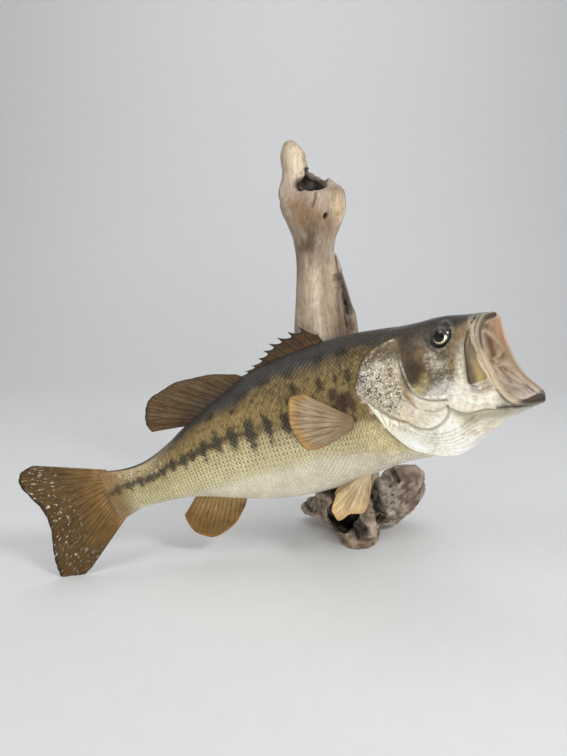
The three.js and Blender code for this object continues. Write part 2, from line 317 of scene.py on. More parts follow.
def through(rows):
    # a smooth curve through rows that start with a place
    rows = np.asarray(rows, float)

    def at(where):
        where = np.asarray(where, float)
        i = np.clip(np.searchsorted(rows[:, 0], where, side="right") - 1, 0, len(rows) - 2)
        low, high = rows[i], rows[i + 1]
        before, after = rows[np.maximum(i - 1, 0)], rows[np.minimum(i + 2, len(rows) - 1)]
        span = high[..., :1] - low[..., :1]
        x = near0to1((where[..., None] - low[..., :1]) / span)
        slopeIn = (high - before) / (high[..., :1] - before[..., :1]) * span
        slopeOut = (after - low) / (after[..., :1] - low[..., :1]) * span
        bend = slopeIn * (x - 2 * x**2 + x**3) + slopeOut * (x**3 - x**2)
        return (low + (high - low) * x**2 * (3 - 2 * x) + bend)[..., 1:]

    return at


middleLine = spline(centreline)
lineShares = np.linspace(0, 1, 4001)
lineLengths = np.r_[0, np.cumsum(np.linalg.norm(np.diff(middleLine(lineShares), axis=0), axis=1))]
length = lineLengths[-1]
sectionAt = through(sections)
rimAt = through([[i / (len(rim) - 1), *row] for i, row in enumerate(rim)])


def unit(vectors):
    return vectors / np.maximum(np.linalg.norm(vectors, axis=-1, keepdims=True), 1e-12)


def frameAt(where):
    where = np.asarray(where, float)
    inside = near0to1(where)
    share = np.interp(inside * length, lineLengths, lineShares)
    along = unit(middleLine(near0to1(share + 1e-4)) - middleLine(near0to1(share - 1e-4)))
    side = unit(np.cross(along, [0, 0, 1.0]))
    up = np.cross(side, along)
    return middleLine(share) + along * ((where - inside) * length)[..., None], along, side, up


def bodyFrame(where, height, sideways=0.0):
    # where on the centreline, with height and distance sideways in millimetres
    at, _, side, up = frameAt(where)
    height, sideways = np.asarray(height, float), np.asarray(sideways, float)
    return at + up * height[..., None] / 1000 + side * sideways[..., None] / 1000


headFrame = frameAt(1.0)


def fromSnout(forward, sideways, up):
    at, along, side, rise = headFrame
    forward, sideways, up = (np.asarray(x, float)[..., None] / 1000 for x in (forward, sideways, up))
    return at + along * forward + side * sideways + rise * (snoutHeight / 1000 + up)


def headCoords(points):
    # forward, sideways and up from the snout, in millimetres
    at, along, side, up = headFrame
    reach = (np.asarray(points) - at) * 1000
    return reach @ along, reach @ side, reach @ up - snoutHeight


def bodyPoint(where, turn, out):
    above, below, half = np.moveaxis(sectionAt(where), -1, 0)
    sine, cosine = np.sin(turn * 2 * np.pi), np.cos(turn * 2 * np.pi)
    height = (np.where(cosine > 0, above, below) + out) * cosine
    return bodyFrame(where, height, (half + out) * np.sign(sine) * np.abs(sine) ** 0.85 * (1 - 0.1 * cosine))


def rimPoint(turn, out, back):
    far = turn > 0.5
    forward, sideways, up = np.moveaxis(rimAt(2 * np.where(far, 1 - turn, turn)), -1, 0)
    reach = np.hypot(sideways, up + snoutHeight)
    wide = np.maximum(0, sideways + sideways / reach * out)
    return fromSnout(forward - back, np.where(far, -1, 1) * wide, up + (up + snoutHeight) / reach * out)


def surfacePoint(where, turn, out=0.0):
    # turn is 0 on the back, 0.25 on the side on show and 0.5 under the belly
    where, turn, out = np.broadcast_arrays(*(np.asarray(given, float) for given in (where, turn, out)))
    share = (near0to1((where - neck) / (1 - neck)) ** 2)[..., None]
    return bodyPoint(where, turn, out) * (1 - share) + rimPoint(turn, lip + out, lipBack) * share


def liningPoint(share, turn):
    # the mouth's lining: share is 0 at the rim and 1 at its greatest depth
    at, along, side, up = headFrame
    share, turn = np.broadcast_arrays(np.asarray(share, float), np.asarray(turn, float))
    middle = at - along * (mouthDepth / 1000 * share)[..., None]
    reach = rimPoint(turn, 0.0, mouthDepth * share) - middle
    swell = np.sin(np.pi * np.minimum(1, 2 * share))
    narrowing = 1 - 0.75 * share**2
    wide, high = (narrowing + 0.12 * swell)[..., None], (narrowing - 0.06 * swell)[..., None]
    parts = [(reach @ axis)[..., None] * axis for axis in (along, side, up)]
    return middle + parts[0] * wide + parts[1] * wide + parts[2] * high


def girth(where, turn):
    # millimetres of skin for one whole turn, near this place
    step = 0.004
    gap = surfacePoint(where, turn + step) - surfacePoint(where, turn - step)
    return np.linalg.norm(gap, axis=-1) * 1000 / (2 * step)


# strokes: a line on the head or the body, and how near it a point lies


def nearLine(across, up, line):
    # distance in millimetres to a line of points, and the share of the line reached there
    best = np.full(np.shape(across), 1e9)
    reached = np.zeros(np.shape(across))
    points = np.asarray(line, float)
    spans = np.linalg.norm(np.diff(points, axis=0), axis=1)
    starts = np.r_[0, np.cumsum(spans)] / max(spans.sum(), 1e-9)
    for i, span in enumerate(spans):
        (x0, y0), (x1, y1) = points[i], points[i + 1]
        share = near0to1(((across - x0) * (x1 - x0) + (up - y0) * (y1 - y0)) / max(span**2, 1e-9))
        distance = np.hypot(across - x0 - share * (x1 - x0), up - y0 - share * (y1 - y0))
        closer = distance < best
        best = np.where(closer, distance, best)
        reached = np.where(closer, starts[i] + share * (starts[i + 1] - starts[i]), reached)
    return best, reached


def rounded(line):
    return spline([(x, y, 0) for x, y in line])(np.linspace(0, 1, 24))[:, :2]


def stroke(across, up, line, width):
    if len(line) == 1:
        return hill(np.hypot(across - line[0][0], up - line[0][1]), 0, width)
    return hill(nearLine(across, up, rounded(line))[0], 0, width)


def inside(across, up, outline, soft):
    # 1 inside a closed outline and 0 outside, softened over a distance
    ring = np.array([*outline, outline[0]], float)
    angle = np.zeros(np.shape(across))
    for (x0, y0), (x1, y1) in zip(ring, ring[1:]):
        ax, ay, bx, by = x0 - across, y0 - up, x1 - across, y1 - up
        angle += np.arctan2(ax * by - ay * bx, ax * bx + ay * by)
    signed = np.where(np.abs(angle) > np.pi, 1, -1) * nearLine(across, up, ring)[0]
    return smoothStep(-soft, soft, signed)


def noiseAt(points, scale, seed=0.0):
    shift = Vector((seed, seed * 1.7, -seed))
    return np.array([noise.noise(Vector(p) * scale + shift) for p in points])


# making meshes


def gridMesh(name, columns, rows, at, marks=None):
    # a grid of columns and rows carried to at(u, v), welded where its edges meet;
    # marks are named values to keep on its points
    bm = bmesh.new()
    bmesh.ops.create_grid(bm, x_segments=columns, y_segments=rows, size=0.5)
    flat = np.array([vert.co[:2] for vert in bm.verts]) + 0.5
    points = at(flat[:, 0], flat[:, 1])
    for vert, point in zip(bm.verts, points):
        vert.co = point
    for label, values in (marks(flat[:, 0], flat[:, 1]) if marks else {}).items():
        layer = bm.verts.layers.float.new(label)
        for vert, value in zip(bm.verts, values):
            vert[layer] = value
    bmesh.ops.remove_doubles(bm, verts=bm.verts, dist=2e-6)
    bmesh.ops.dissolve_degenerate(bm, edges=bm.edges, dist=1e-7)
    bmesh.ops.recalc_face_normals(bm, faces=bm.faces)
    return finishMesh(name, keepMesh(name, bm))


def keepMesh(name, bm):
    mesh = bpy.data.meshes.new(name)
    bm.to_mesh(mesh)
    bm.free()
    return mesh


def finishMesh(name, mesh):
    for face in mesh.polygons:
        face.use_smooth = True
    piece = bpy.data.objects.new(name, mesh)
    bpy.context.scene.collection.objects.link(piece)
    return piece


def pointsOf(piece):
    flat = np.empty(len(piece.data.vertices) * 3)
    piece.data.vertices.foreach_get("co", flat)
    return flat.reshape(-1, 3)


def markOf(piece, label):
    values = np.empty(len(piece.data.vertices))
    piece.data.attributes[label].data.foreach_get("value", values)
    return values


def paint(piece, colours, finish=None):
    # colours on the points; finish holds glitter, dark dashes and dark blotches
    layer = piece.data.color_attributes.new("paint", "FLOAT_COLOR", "POINT")
    layer.data.foreach_set("color", np.c_[colours, np.ones(len(colours))].ravel())
    if finish is not None:
        layer = piece.data.color_attributes.new("finish", "FLOAT_COLOR", "POINT")
        layer.data.foreach_set("color", np.c_[finish, np.ones(len(finish))].ravel())


def dress(piece, material, slotName, *nodes):
    piece.data.materials.clear()
    piece.data.materials.append(material)
    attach(piece, "root")
    if nodes:
        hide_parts(*nodes)
    print("made", piece.name, len(piece.data.polygons))


# the fish's colouring


lightLevel = 0.82
palest = 0.92


def tone(red, green, blue):
    # the paint's own colour, from how it looks in soft light (0 to 255)
    looks = np.array([(value / 255) ** 2.2 for value in (red, green, blue)])
    return np.clip(looks / lightLevel, 0, palest)


def settle(colour):
    return np.clip(colour, 0.003, 0.9)


def glitterOnly(glitter):
    # a finish without dashes or blotches
    return np.outer(glitter, [1, 0, 0])


def lay(base, colour, mask):
    return base * (1 - mask[..., None]) + np.asarray(colour) * mask[..., None]


bodyPaint = {
    "back": tone(54, 54, 54),
    "upperFlank": tone(92, 78, 52),
    "overStripe": tone(126, 108, 70),
    "tailBack": tone(166, 148, 112),
    "dark": tone(38, 36, 28),
    "purple": tone(56, 44, 38),
    "cream": tone(170, 158, 117),
    "lowerFlank": tone(189, 179, 139),
    "belly": tone(200, 192, 171),
    "breast": tone(196, 182, 138),
    "band": tone(132, 108, 70),
    "paleFleck": tone(150, 130, 88),
    "darkFleck": tone(56, 49, 36),
    "scab": tone(24, 20, 17),
    "paintedSheen": tone(186, 160, 118),
    "tailRoot": tone(124, 96, 60),
    # the lateral stripe: place and turn
    "line": [
        (0.0, 0.249), (0.033, 0.227), (0.067, 0.238), (0.107, 0.24), (0.143, 0.222), (0.177, 0.218),
        (0.203, 0.216), (0.232, 0.211), (0.273, 0.205), (0.308, 0.207), (0.358, 0.214), (0.412, 0.218),
        (0.462, 0.223), (0.53, 0.23), (0.6, 0.25), (0.66, 0.258), (0.7, 0.262),
    ],
    # dark blotches on the stripe: place, millimetres below its line, long and high
    "blotches": [
        (0.018, 0, 6, 10), (0.045, 0, 6, 10), (0.072, 0, 6, 9), (0.1, 0, 6, 9), (0.13, 0, 6, 10),
        (0.158, 0, 6, 12), (0.187, 1, 6.5, 14), (0.212, 1, 6.5, 15), (0.24, 1, 8, 21), (0.276, 1, 9, 26),
        (0.314, 2, 10, 31), (0.363, 2, 12, 35), (0.413, 1, 12, 32), (0.463, 0, 10, 28), (0.505, -2, 8, 20),
    ],
    # dark patches above it: place, turn, and millimetres long and high
    "patches": [
        (0.505, 0.154, 7, 13), (0.577, 0.172, 10, 20), (0.627, 0.173, 6, 14), (0.667, 0.175, 8, 16),
        (0.608, 0.205, 14, 15), (0.64, 0.218, 14, 20), (0.664, 0.236, 12, 24), (0.6, 0.235, 8, 12),
        (0.432, 0.1, 17, 12), (0.498, 0.11, 15, 13), (0.584, 0.104, 16, 12), (0.655, 0.108, 16, 12),
        (0.363, 0.1, 14, 10), (0.278, 0.093, 12, 10), (0.33, 0.135, 6, 6), (0.39, 0.14, 6, 6),
        (0.55, 0.2, 5, 9), (0.48, 0.18, 4, 7), (0.625, 0.225, 16, 22), (0.655, 0.268, 5, 6),
    ],
}


def stripeAt(where):
    return np.interp(where, *np.array(bodyPaint["line"]).T)


def fromStripe(where, turn):
    # millimetres below the lateral stripe
    stripe = stripeAt(where)
    return (fromBack(turn) - stripe) * girth(np.clip(where, 0, 0.8), stripe)


def blotchAt(where, down, points):
    # how strongly the dark blotches along the stripe show
    along = where * length * 1000
    small = noiseAt(points, 170, 7.7)
    fine = noiseAt(np.stack([along * 0.0022, down * 0.0009, 0 * where], axis=-1), 300, 33.0)
    dark = np.zeros(np.shape(where))
    for at, low, long, high in bodyPaint["blotches"]:
        away = np.hypot((along - at * length * 1000) / long * 1.75, (down - low) / high * 1.9)
        dark = np.maximum(dark, 1 - smoothStep(0.5, 1.25, away + 0.3 * small + 0.45 * fine))
    stripe = hill(down + 3 * small, 0, 3.2) * (1 - smoothStep(0.3, 0.5, where))
    return np.maximum(dark, 0.95 * stripe * (0.85 + fine))


def bodyColour(where, turn, points):
    down = fromStripe(where, turn)
    half = fromBack(turn)
    along = where * length * 1000
    broad = noiseAt(points, 45, 3.1)
    small = noiseAt(points, 170, 7.7)
    fine = noiseAt(points, 330, 17.7)
    ragged = down + 2.0 * broad + 2.6 * small
    stalk = 1 - smoothStep(0.09, 0.2, where)
    rise = 0.035 * (1 - smoothStep(0.15, 0.36, where))
    reach = 0.45 + 0.55 * smoothStep(0.05, 0.35, where)
    level = half + 0.018 * broad + 0.016 * small
    colour = lay(bodyPaint["back"], bodyPaint["tailBack"], stalk)
    colour = lay(colour, bodyPaint["upperFlank"], smoothStep(0.088 - rise, 0.13 - rise, level) * (1 - stalk))
    shown = smoothStep(0.122 - rise, 0.185 - rise, level) * (1 - 0.6 * stalk)
    colour = lay(colour, bodyPaint["overStripe"], shown)
    shown = 0.45 * hill(down, -18, 9) * smoothStep(0.2, 0.3, where) * smoothStep(0.5, 0.42, where)
    colour = lay(colour, bodyPaint["band"], shown)
    # upright flecks above the stripe
    upright = noiseAt(np.stack([where * length * 2.4, down * 0.0008, 0 * where], axis=-1), 210, 27.0)
    above = smoothStep(6, -2, down) * smoothStep(0.1, 0.15, level)
    colour = lay(colour, bodyPaint["paleFleck"], 0.5 * near0to1(-2.2 * upright) * above)
    colour = lay(colour, bodyPaint["darkFleck"], 0.85 * near0to1(2.6 * upright - 0.35) * above * (1 - stalk))
    colour = lay(colour, bodyPaint["cream"], smoothStep(3, 12, ragged / reach))
    colour = lay(colour, bodyPaint["lowerFlank"], smoothStep(12, 30, down / reach))
    colour = lay(colour, bodyPaint["belly"], smoothStep(34, 56, down / reach))
    shown = 0.9 * smoothStep(0.63, 0.72, where) * smoothStep(8, 20, down) * smoothStep(64, 46, down)
    colour = lay(colour, bodyPaint["breast"], shown)
    colour = lay(colour, bodyPaint["dark"], 0.6 * blotchAt(where, down, points))
    for at, level, long, high in bodyPaint["patches"]:
        up = (half - level) * girth(np.array([at]), np.array([level]))[0]
        spot = np.hypot((along - at * length * 1000) / long * 1.7, up / high * 1.8)
        shade = bodyPaint["purple"] if at > 0.59 and level > 0.2 else bodyPaint["dark"]
        shown = 0.85 * (1 - smoothStep(0.45, 1.25, spot + 0.4 * small + 0.3 * fine))
        colour = lay(colour, shade, near0to1(shown))
    near = np.exp(-(((where - 0.657) / 0.007) ** 2) - ((half - 0.27) / 0.009) ** 2)
    colour = lay(colour, bodyPaint["scab"], 0.9 * near)
    # a painted sheen: a lighter golden patch behind the pectoral fin's root
    near = np.exp(-(((where - 0.63) / 0.035) ** 2) - ((half - 0.3) / 0.03) ** 2)
    colour = lay(colour, bodyPaint["paintedSheen"], 0.5 * near)
    colour = lay(colour, bodyPaint["back"], stalk * smoothStep(0.06, 0.03, half))
    colour = lay(colour, bodyPaint["tailRoot"], smoothStep(0.055, 0.005, where) * 0.9)
    return colour * (1 + 0.12 * broad + 0.1 * small)[..., None]


# the border of the head's plates and gill membranes over the scaled body
headEdge = [
    (-96, 42), (-97, 20), (-103.7, 7.6), (-116.5, 3.9), (-122.1, -0.3), (-126.1, -6), (-128.9, -14.5),
    (-132.6, -23.2), (-135.9, -32.2), (-128.8, -43.8), (-122.5, -55.6), (-114.8, -73.9), (-108.5, -86.8),
    (-97, -102), (-80, -113.5), (-58, -119),
]


def onHead(forward, up, soft=1.2):
    return inside(forward, up, [*headEdge, (-20, -127), (60, -127), (60, 50)], soft)


headPaint = {
    "top": tone(38, 36, 32),
    "temple": tone(118, 103, 82),
    "cheek": tone(116, 98, 70),
    "lowCheek": tone(204, 196, 182),
    "cover": tone(200, 188, 164),
    "coverTop": tone(106, 92, 70),
    "throat": np.array([0.95, 0.92, 0.78]),
    "jaw": tone(208, 198, 180),
    "premaxilla": tone(160, 147, 126),
    "flapShadow": tone(112, 96, 66),
    "eyeRim": tone(92, 92, 92),
    "eyeEdge": tone(40, 37, 34),
    "patch": tone(52, 42, 32),
}
# deep is painted shade: the lining darkens towards the mouth's greatest depth
mouthPaint = {"roof": tone(202, 176, 146), "floor": tone(220, 202, 180), "deep": tone(134, 104, 80)}
lipPaint = {
    "corner": tone(186, 170, 144),
    "upper": tone(150, 138, 118),
    "lower": tone(92, 86, 72),
    "crest": tone(150, 130, 108),
    "darkCrest": tone(58, 53, 46),
    "farCrest": tone(176, 142, 118),
    "line": tone(30, 27, 24),
}
# marks on the head, forward and up from the snout in millimetres: a line or a spot, its
# width, colour, strength, and its height (below 0 for a groove)
headMarks = [
    # temple and the dark cheek
    ([(-64, 2), (-58, -6)], 7, (84, 76, 68), 0.6, 0),
    ([(-80, -4), (-72, -12), (-76, -20)], 9, (80, 70, 58), 0.75, 0),
    ([(-74, -24), (-71, -29), (-76, -35)], 8.5, (66, 55, 46), 0.9, 0),
    ([(-66, -24), (-67, -33)], 4, (70, 58, 48), 0.7, 0),
    ([(-64, -11), (-60, -16)], 5, (142, 118, 84), 0.55, 0.2),
    ([(-68, -16), (-60, -22)], 4, (120, 98, 70), 0.5, 0),
    ([(-73, -44), (-69, -46), (-64, -41), (-61, -36)], 4.2, (194, 178, 128), 0.9, 0),
    ([(-72, -48), (-68, -49)], 3, (164, 152, 112), 0.7, 0),
    # silvery cheek with dark speckles
    ([(-56, -21), (-50, -22), (-47, -27)], 4.5, (222, 210, 188), 0.7, 0.25),
    ([(-54, -28), (-49, -33), (-43, -31)], 4.5, (206, 194, 172), 0.65, 0.2),
    ([(-53.8, -38.2)], 3, (78, 68, 56), 0.8, 0),
    ([(-54, -45.6), (-57.4, -42)], 2.6, (82, 72, 60), 0.8, 0),
    ([(-61.7, -46.5)], 2.2, (84, 74, 62), 0.8, 0),
    ([(-66.2, -50.4)], 1.8, (92, 80, 66), 0.7, 0),
    ([(-48.8, -43), (-46, -38)], 2.4, (96, 86, 76), 0.75, 0),
    ([(-42.5, -41.1), (-41, -36)], 2.4, (110, 100, 90), 0.65, 0),
    ([(-59, -31), (-57.5, -35.5)], 2.2, (88, 76, 60), 0.7, 0),
    ([(-47.5, -18), (-44, -24)], 2.2, (86, 76, 64), 0.6, 0),
    ([(-52, -50), (-44, -50), (-38, -54)], 4.5, (214, 208, 200), 0.75, 0),
    # the pale strip along the cheek's front
    ([(-21, -17), (-25.5, -26), (-29, -36), (-31.5, -48), (-31, -54)], 3.8, (214, 208, 186), 0.9, -0.3),
    # round the eye
    (
        [(-57.3, -1.3), (-53.3, -8.2), (-48.7, -13.5), (-43, -15.2), (-38, -14.4), (-34.5, -11.5)], 1.7,
        (52, 50, 48), 0.9, 0.7
    ),
    # a bluish painted reflection along the fold under the eye
    ([(-52, -11), (-45, -16.6), (-38.5, -16.4)], 0.8, (120, 136, 134), 0.6, 0.2),
    ([(-39, -1), (-35.5, -3.5), (-31, -3)], 2.6, (70, 68, 64), 0.7, 0.5),
    # a painted highlight on the skin ahead of the eye's top
    ([(-38.5, 0.8), (-34.5, -0.4)], 0.8, (226, 222, 210), 0.75, 0.4),
    ([(-36, -9), (-30, -9)], 3, (76, 66, 54), 0.7, 0),
    ([(-43, -20), (-38, -22)], 3, (92, 82, 68), 0.6, 0),
    # brown in front of the eye and the yellow line behind the nostril
    ([(-27, -6), (-21, -7), (-24, -12)], 4, (122, 100, 66), 0.7, 0),
    ([(-16.8, 2), (-17.4, -3), (-18.6, -8), (-19, -12)], 1.0, (150, 132, 84), 0.7, -0.5),
    # snout ahead of it, dark on top, and the nostrils
    ([(-13.5, -2), (-13, -10), (-12.5, -18), (-12.2, -26)], 4.2, (160, 147, 126), 0.9, 0),
    ([(-26, 9), (-14, 5), (-6, 1.8), (1, -1.6)], 3.8, (38, 34, 30), 0.95, 0),
    ([(-17, 1.5), (-12, 1.2), (-9, -1.5)], 1.5, (112, 104, 92), 0.7, 0.5),
    ([(-13.2, 0.6)], 1.3, (10, 9, 8), 1.0, -1.6),
    ([(-15.4, -1.1), (-14.9, -1.9)], 0.9, (12, 10, 9), 1.0, -1.2),
    ([(-33.5, 6.2)], 1.2, (12, 10, 9), 0.9, -1.0),
    ([(-10.2, 3), (-8.2, -6), (-7.5, -14), (-6.6, -24)], 1.1, (120, 112, 98), 0.75, -0.5),
    ([(-23, -14), (-27, -26), (-30, -38)], 0.7, (150, 142, 120), 0.6, -0.5),
    ([(-20.5, -14), (-23.5, -26), (-27.5, -40), (-29, -50)], 0.6, (156, 148, 126), 0.5, -0.4),
    ([(-28, -24), (-32, -36), (-34, -48)], 0.6, (160, 152, 132), 0.5, -0.4),
    # between the cheek and the jaw's plate
    (
        [
            (-17.6, -8), (-18.1, -14.5), (-19.5, -20.5), (-21.1, -30.8), (-25, -42.4), (-25.9, -48.6),
            (-25, -54), (-20.5, -57)
        ],
        1.1, (92, 82, 68), 0.7, -1.0
    ),
    # the fold under the plate
    ([(-25, -57), (-19.1, -60.8), (-12.9, -60.2), (-7, -59)], 1.5, (124, 118, 108), 0.85, 0.5),
    ([(-27, -59.5), (-19.5, -63.2), (-11, -62.5), (-4, -66)], 0.9, (150, 142, 128), 0.7, -0.5),
    # gill cover's top edge, with a painted highlight along a fold behind the temple
    ([(-131, -22), (-127.5, -9), (-120.6, 0.5), (-106, 7.2), (-90.6, 9.6)], 1.6, (58, 46, 34), 0.85, -0.6),
    ([(-112, 1.5), (-103, 5.2), (-92, 7.6)], 1.2, (196, 178, 140), 0.7, 0.6),
    # dark brown under it, silver on the middle, a dark spot at the corner with glints round it
    ([(-104, 2), (-98, -3), (-94, -10)], 6, (82, 66, 48), 0.8, 0),
    ([(-96, -14), (-95, -28), (-93, -40)], 3.5, (120, 98, 66), 0.7, 0),
    ([(-106, -40), (-112, -46), (-104, -54)], 5, (156, 134, 98), 0.6, 0),
    ([(-118, -6), (-112, -4)], 4, (98, 80, 58), 0.7, 0),
    ([(-108, -12), (-116, -20), (-110, -26)], 5, (196, 184, 160), 0.6, 0.2),
    ([(-100, -24), (-104, -38), (-98, -50)], 6, (196, 184, 158), 0.6, 0.1),
    ([(-127, -14), (-121, -17)], 2.6, (196, 198, 204), 0.6, 0.3),
    ([(-126.5, -20), (-124, -27), (-120, -31)], 4.6, (46, 50, 56), 0.95, 0.2),
    ([(-130, -30), (-124, -36), (-116, -40)], 2.2, (132, 126, 104), 0.7, 0.2),
    ([(-123, -19.5)], 1.2, (214, 220, 228), 0.8, 0.3),
    ([(-128, -25)], 1.0, (206, 214, 224), 0.8, 0.3),
    # the cover's lower fold and the pale membrane beside it
    (
        [(-133, -34.5), (-121, -47), (-111, -58.5), (-103.5, -65), (-92.5, -71.3)], 1.5, (108, 96, 74),
        0.85, -0.8
    ),
    ([(-131, -38), (-120, -51), (-111, -63), (-101, -72), (-92, -78)], 1.8, (224, 214, 194), 0.75, 0.5),
    ([(-88, -30), (-86, -44), (-80, -56)], 2.6, (140, 112, 82), 0.6, 0),
    # preopercle: a groove behind a ridge with a painted highlight
    (
        [
            (-87.4, -3.9), (-85, -15.4), (-83.3, -27.6), (-79.2, -40.3), (-74, -50.3), (-64, -57.2),
            (-49, -61)
        ],
        1.1, (66, 53, 41), 0.85, -1.2
    ),
    (
        [
            (-84.2, -14.6), (-81.7, -27.0), (-79.2, -37.2), (-76.0, -45.1), (-72.0, -50.9), (-64, -54.6),
            (-50, -57.6)
        ],
        0.7, (232, 222, 202), 0.9, 0.9
    ),
    ([(-83, -45), (-78, -53), (-70, -60)], 1.6, (186, 158, 122), 0.6, 0.3),
    # interopercle
    ([(-86, -44.5), (-82.3, -52), (-78.3, -61)], 1.1, (104, 78, 54), 0.8, -0.8),
    ([(-66, -64), (-74, -70), (-84, -76)], 7, (200, 188, 164), 0.7, 0.5),
    (
        [(-91.4, -73.5), (-85.2, -78.9), (-73.1, -82.8), (-60, -79.1), (-51.9, -72.3), (-50.5, -65.9)], 1.2,
        (112, 104, 86), 0.85, -1.1
    ),
    ([(-50.5, -65.9), (-56, -67.2), (-64, -67.5), (-72, -64)], 0.9, (128, 112, 88), 0.7, -0.6),
    # lower jaw
    ([(-32.7, -64.5), (-27.2, -68), (-20.2, -68.6), (-11.7, -69.5)], 2.2, (236, 228, 208), 0.6, 0.5),
    (
        [
            (-50.7, -67.5), (-45.5, -72.7), (-38.4, -77.2), (-29.6, -77.8), (-19.9, -78.2), (-14.3, -80.3),
            (-5.1, -81.7)
        ],
        1.0, (84, 76, 62), 0.85, -1.0
    ),
    ([(-48, -71), (-41, -76)], 2.2, (150, 148, 128), 0.6, 0),
    ([(-46, -75.5), (-30, -80.5), (-16, -81.8), (-6, -84)], 2.8, (140, 134, 112), 0.75, 0),
    (
        [(-11.2, -78.1), (-0.4, -81.1), (6.1, -83.0), (10.3, -84.8), (13.6, -85.4)], 1.5, (70, 64, 54),
        0.85, -0.4
    ),
    ([(-7, -63.8), (-1.9, -73.7), (2.6, -80), (5.6, -82.6)], 1.1, (110, 98, 80), 0.8, -0.7),
    ([(-3, -70), (1.6, -77), (6, -81.6), (10.7, -84.2), (14, -85.5)], 2.6, (72, 67, 56), 0.9, 0.3),
    ([(-40, -82), (-24, -83.5), (-12, -86), (0, -88), (10, -89)], 4.0, (144, 140, 118), 0.85, 0),
    ([(-30, -93), (-24, -91.5), (-19, -92)], 2.4, (150, 146, 122), 0.6, -3.2),
    ([(-5, -79), (6, -82.5), (16, -84)], 4.2, (70, 66, 56), 0.92, 0.3),
    ([(-12, -79.6), (-2, -81.4), (7, -83.4), (14, -84.4)], 0.9, (16, 14, 12), 0.95, -0.9),
]
# marks inside the mouth: depth from the rim and turn, as shares
mouthMarks = [
    ([(0.04, 0.0), (0.07, 0.09), (0.058, 0.132), (0.03, 0.19)], 4.0, (176, 124, 98), 0.55, 0),
    (
        [(0.15, 0.03), (0.16, 0.075), (0.16, 0.117), (0.168, 0.162), (0.18, 0.21)], 4.2, (100, 76, 56),
        0.85, -0.9
    ),
    ([(0.34, 0.04), (0.3, 0.1), (0.3, 0.16)], 5.0, (214, 196, 166), 0.6, 0.6),
    ([(0.1, 0.19), (0.14, 0.205), (0.2, 0.21)], 1.2, (222, 200, 150), 0.85, 0.9),
    ([(0.05, 0.2), (0.09, 0.212), (0.15, 0.226)], 0.9, (134, 104, 78), 0.7, -0.7),
    (
        [(0.19, 0.07), (0.152, 0.099), (0.082, 0.15), (0.044, 0.186), (0.017, 0.221)], 1.5, (210, 188, 158),
        0.85, 0.9
    ),
    ([(0.171, 0.222), (0.095, 0.236), (0.046, 0.256)], 1.8, (222, 204, 172), 0.85, 0.8),
    ([(0.2, 0.24), (0.13, 0.236), (0.07, 0.225), (0.03, 0.235)], 1.1, (206, 182, 148), 0.8, 0.7),
    ([(0.166, 0.251), (0.169, 0.297), (0.2, 0.33)], 1.4, (108, 82, 60), 0.85, -0.8),
    (
        [(0.14, 0.25), (0.076, 0.314), (0.105, 0.384), (0.078, 0.427), (0.06, 0.46)], 1.1, (120, 96, 76),
        0.8, -0.7
    ),
    ([(0.06, 0.30), (0.07, 0.36), (0.05, 0.43)], 1.6, (222, 204, 182), 0.7, 0.6),
    ([(0.0, 0.5), (0.05, 0.5)], 5.0, (104, 90, 76), 0.9, 0),
    ([(0.0, 0.41), (0.03, 0.45)], 2.2, (92, 80, 68), 0.8, 0),
    ([(0.17, 0.3), (0.14, 0.36), (0.15, 0.43)], 1.0, (150, 122, 100), 0.6, -0.5),
    ([(0.12, 0.0), (0.2, 0.02), (0.28, 0.03)], 1.4, (150, 116, 90), 0.7, -0.5),
    ([(0.3, 0.0), (0.3, 0.12), (0.33, 0.25), (0.36, 0.4), (0.34, 0.5)], 2.2, (104, 78, 60), 0.7, -0.8),
]
mouthGirth = 200  # millimetres of lining for one whole turn, roughly
mouthLines = [([(x * mouthDepth, y * mouthGirth) for x, y in line], *rest) for line, *rest in mouthMarks]
folds = {
    "upper": [(-96.5, -72.7), (-77.3, -86.8), (-53.7, -88.2), (-31.8, -80.1)],
    "middle": [(-107.8, -73), (-86.8, -93), (-63.6, -101.6), (-38.5, -94.6)],
    "lower": [(-124.5, -53), (-111.5, -80), (-94, -103), (-75, -114)],
    "count": 8,
    "height": 1.5,
}
eye = {"forward": -43.0, "sideways": 24.0, "up": -5.0, "radius": 10.0, "flatness": 0.8, "opening": 9.3}


def foldWave(forward, up):
    near = [nearLine(forward, up, rounded(folds[key]))[0] for key in ("upper", "middle", "lower")]
    first = near[0] / (near[0] + near[1] + 1e-6)
    second = near[1] / (near[1] + near[2] + 1e-6)
    across = np.where(near[2] > near[0], 0.5 * first, 0.5 + 0.5 * second)
    ring = [*folds["upper"], (-30, -95), *folds["lower"][::-1]]
    # rounded ridges with narrow creases between them
    off = (folds["count"] * across + 0.5) % 1 - 0.5
    return 1 - 2 * hill(off, 0, 0.17), inside(forward, up, ring, 3.0)


def layMarks(across, up, marks, colour, height, on=1.0):
    for line, width, shade, strength, rise in marks:
        mask = stroke(across, up, line, width) * on
        colour = lay(colour, tone(*shade), mask * strength)
        height = height + mask * rise
    return colour, height


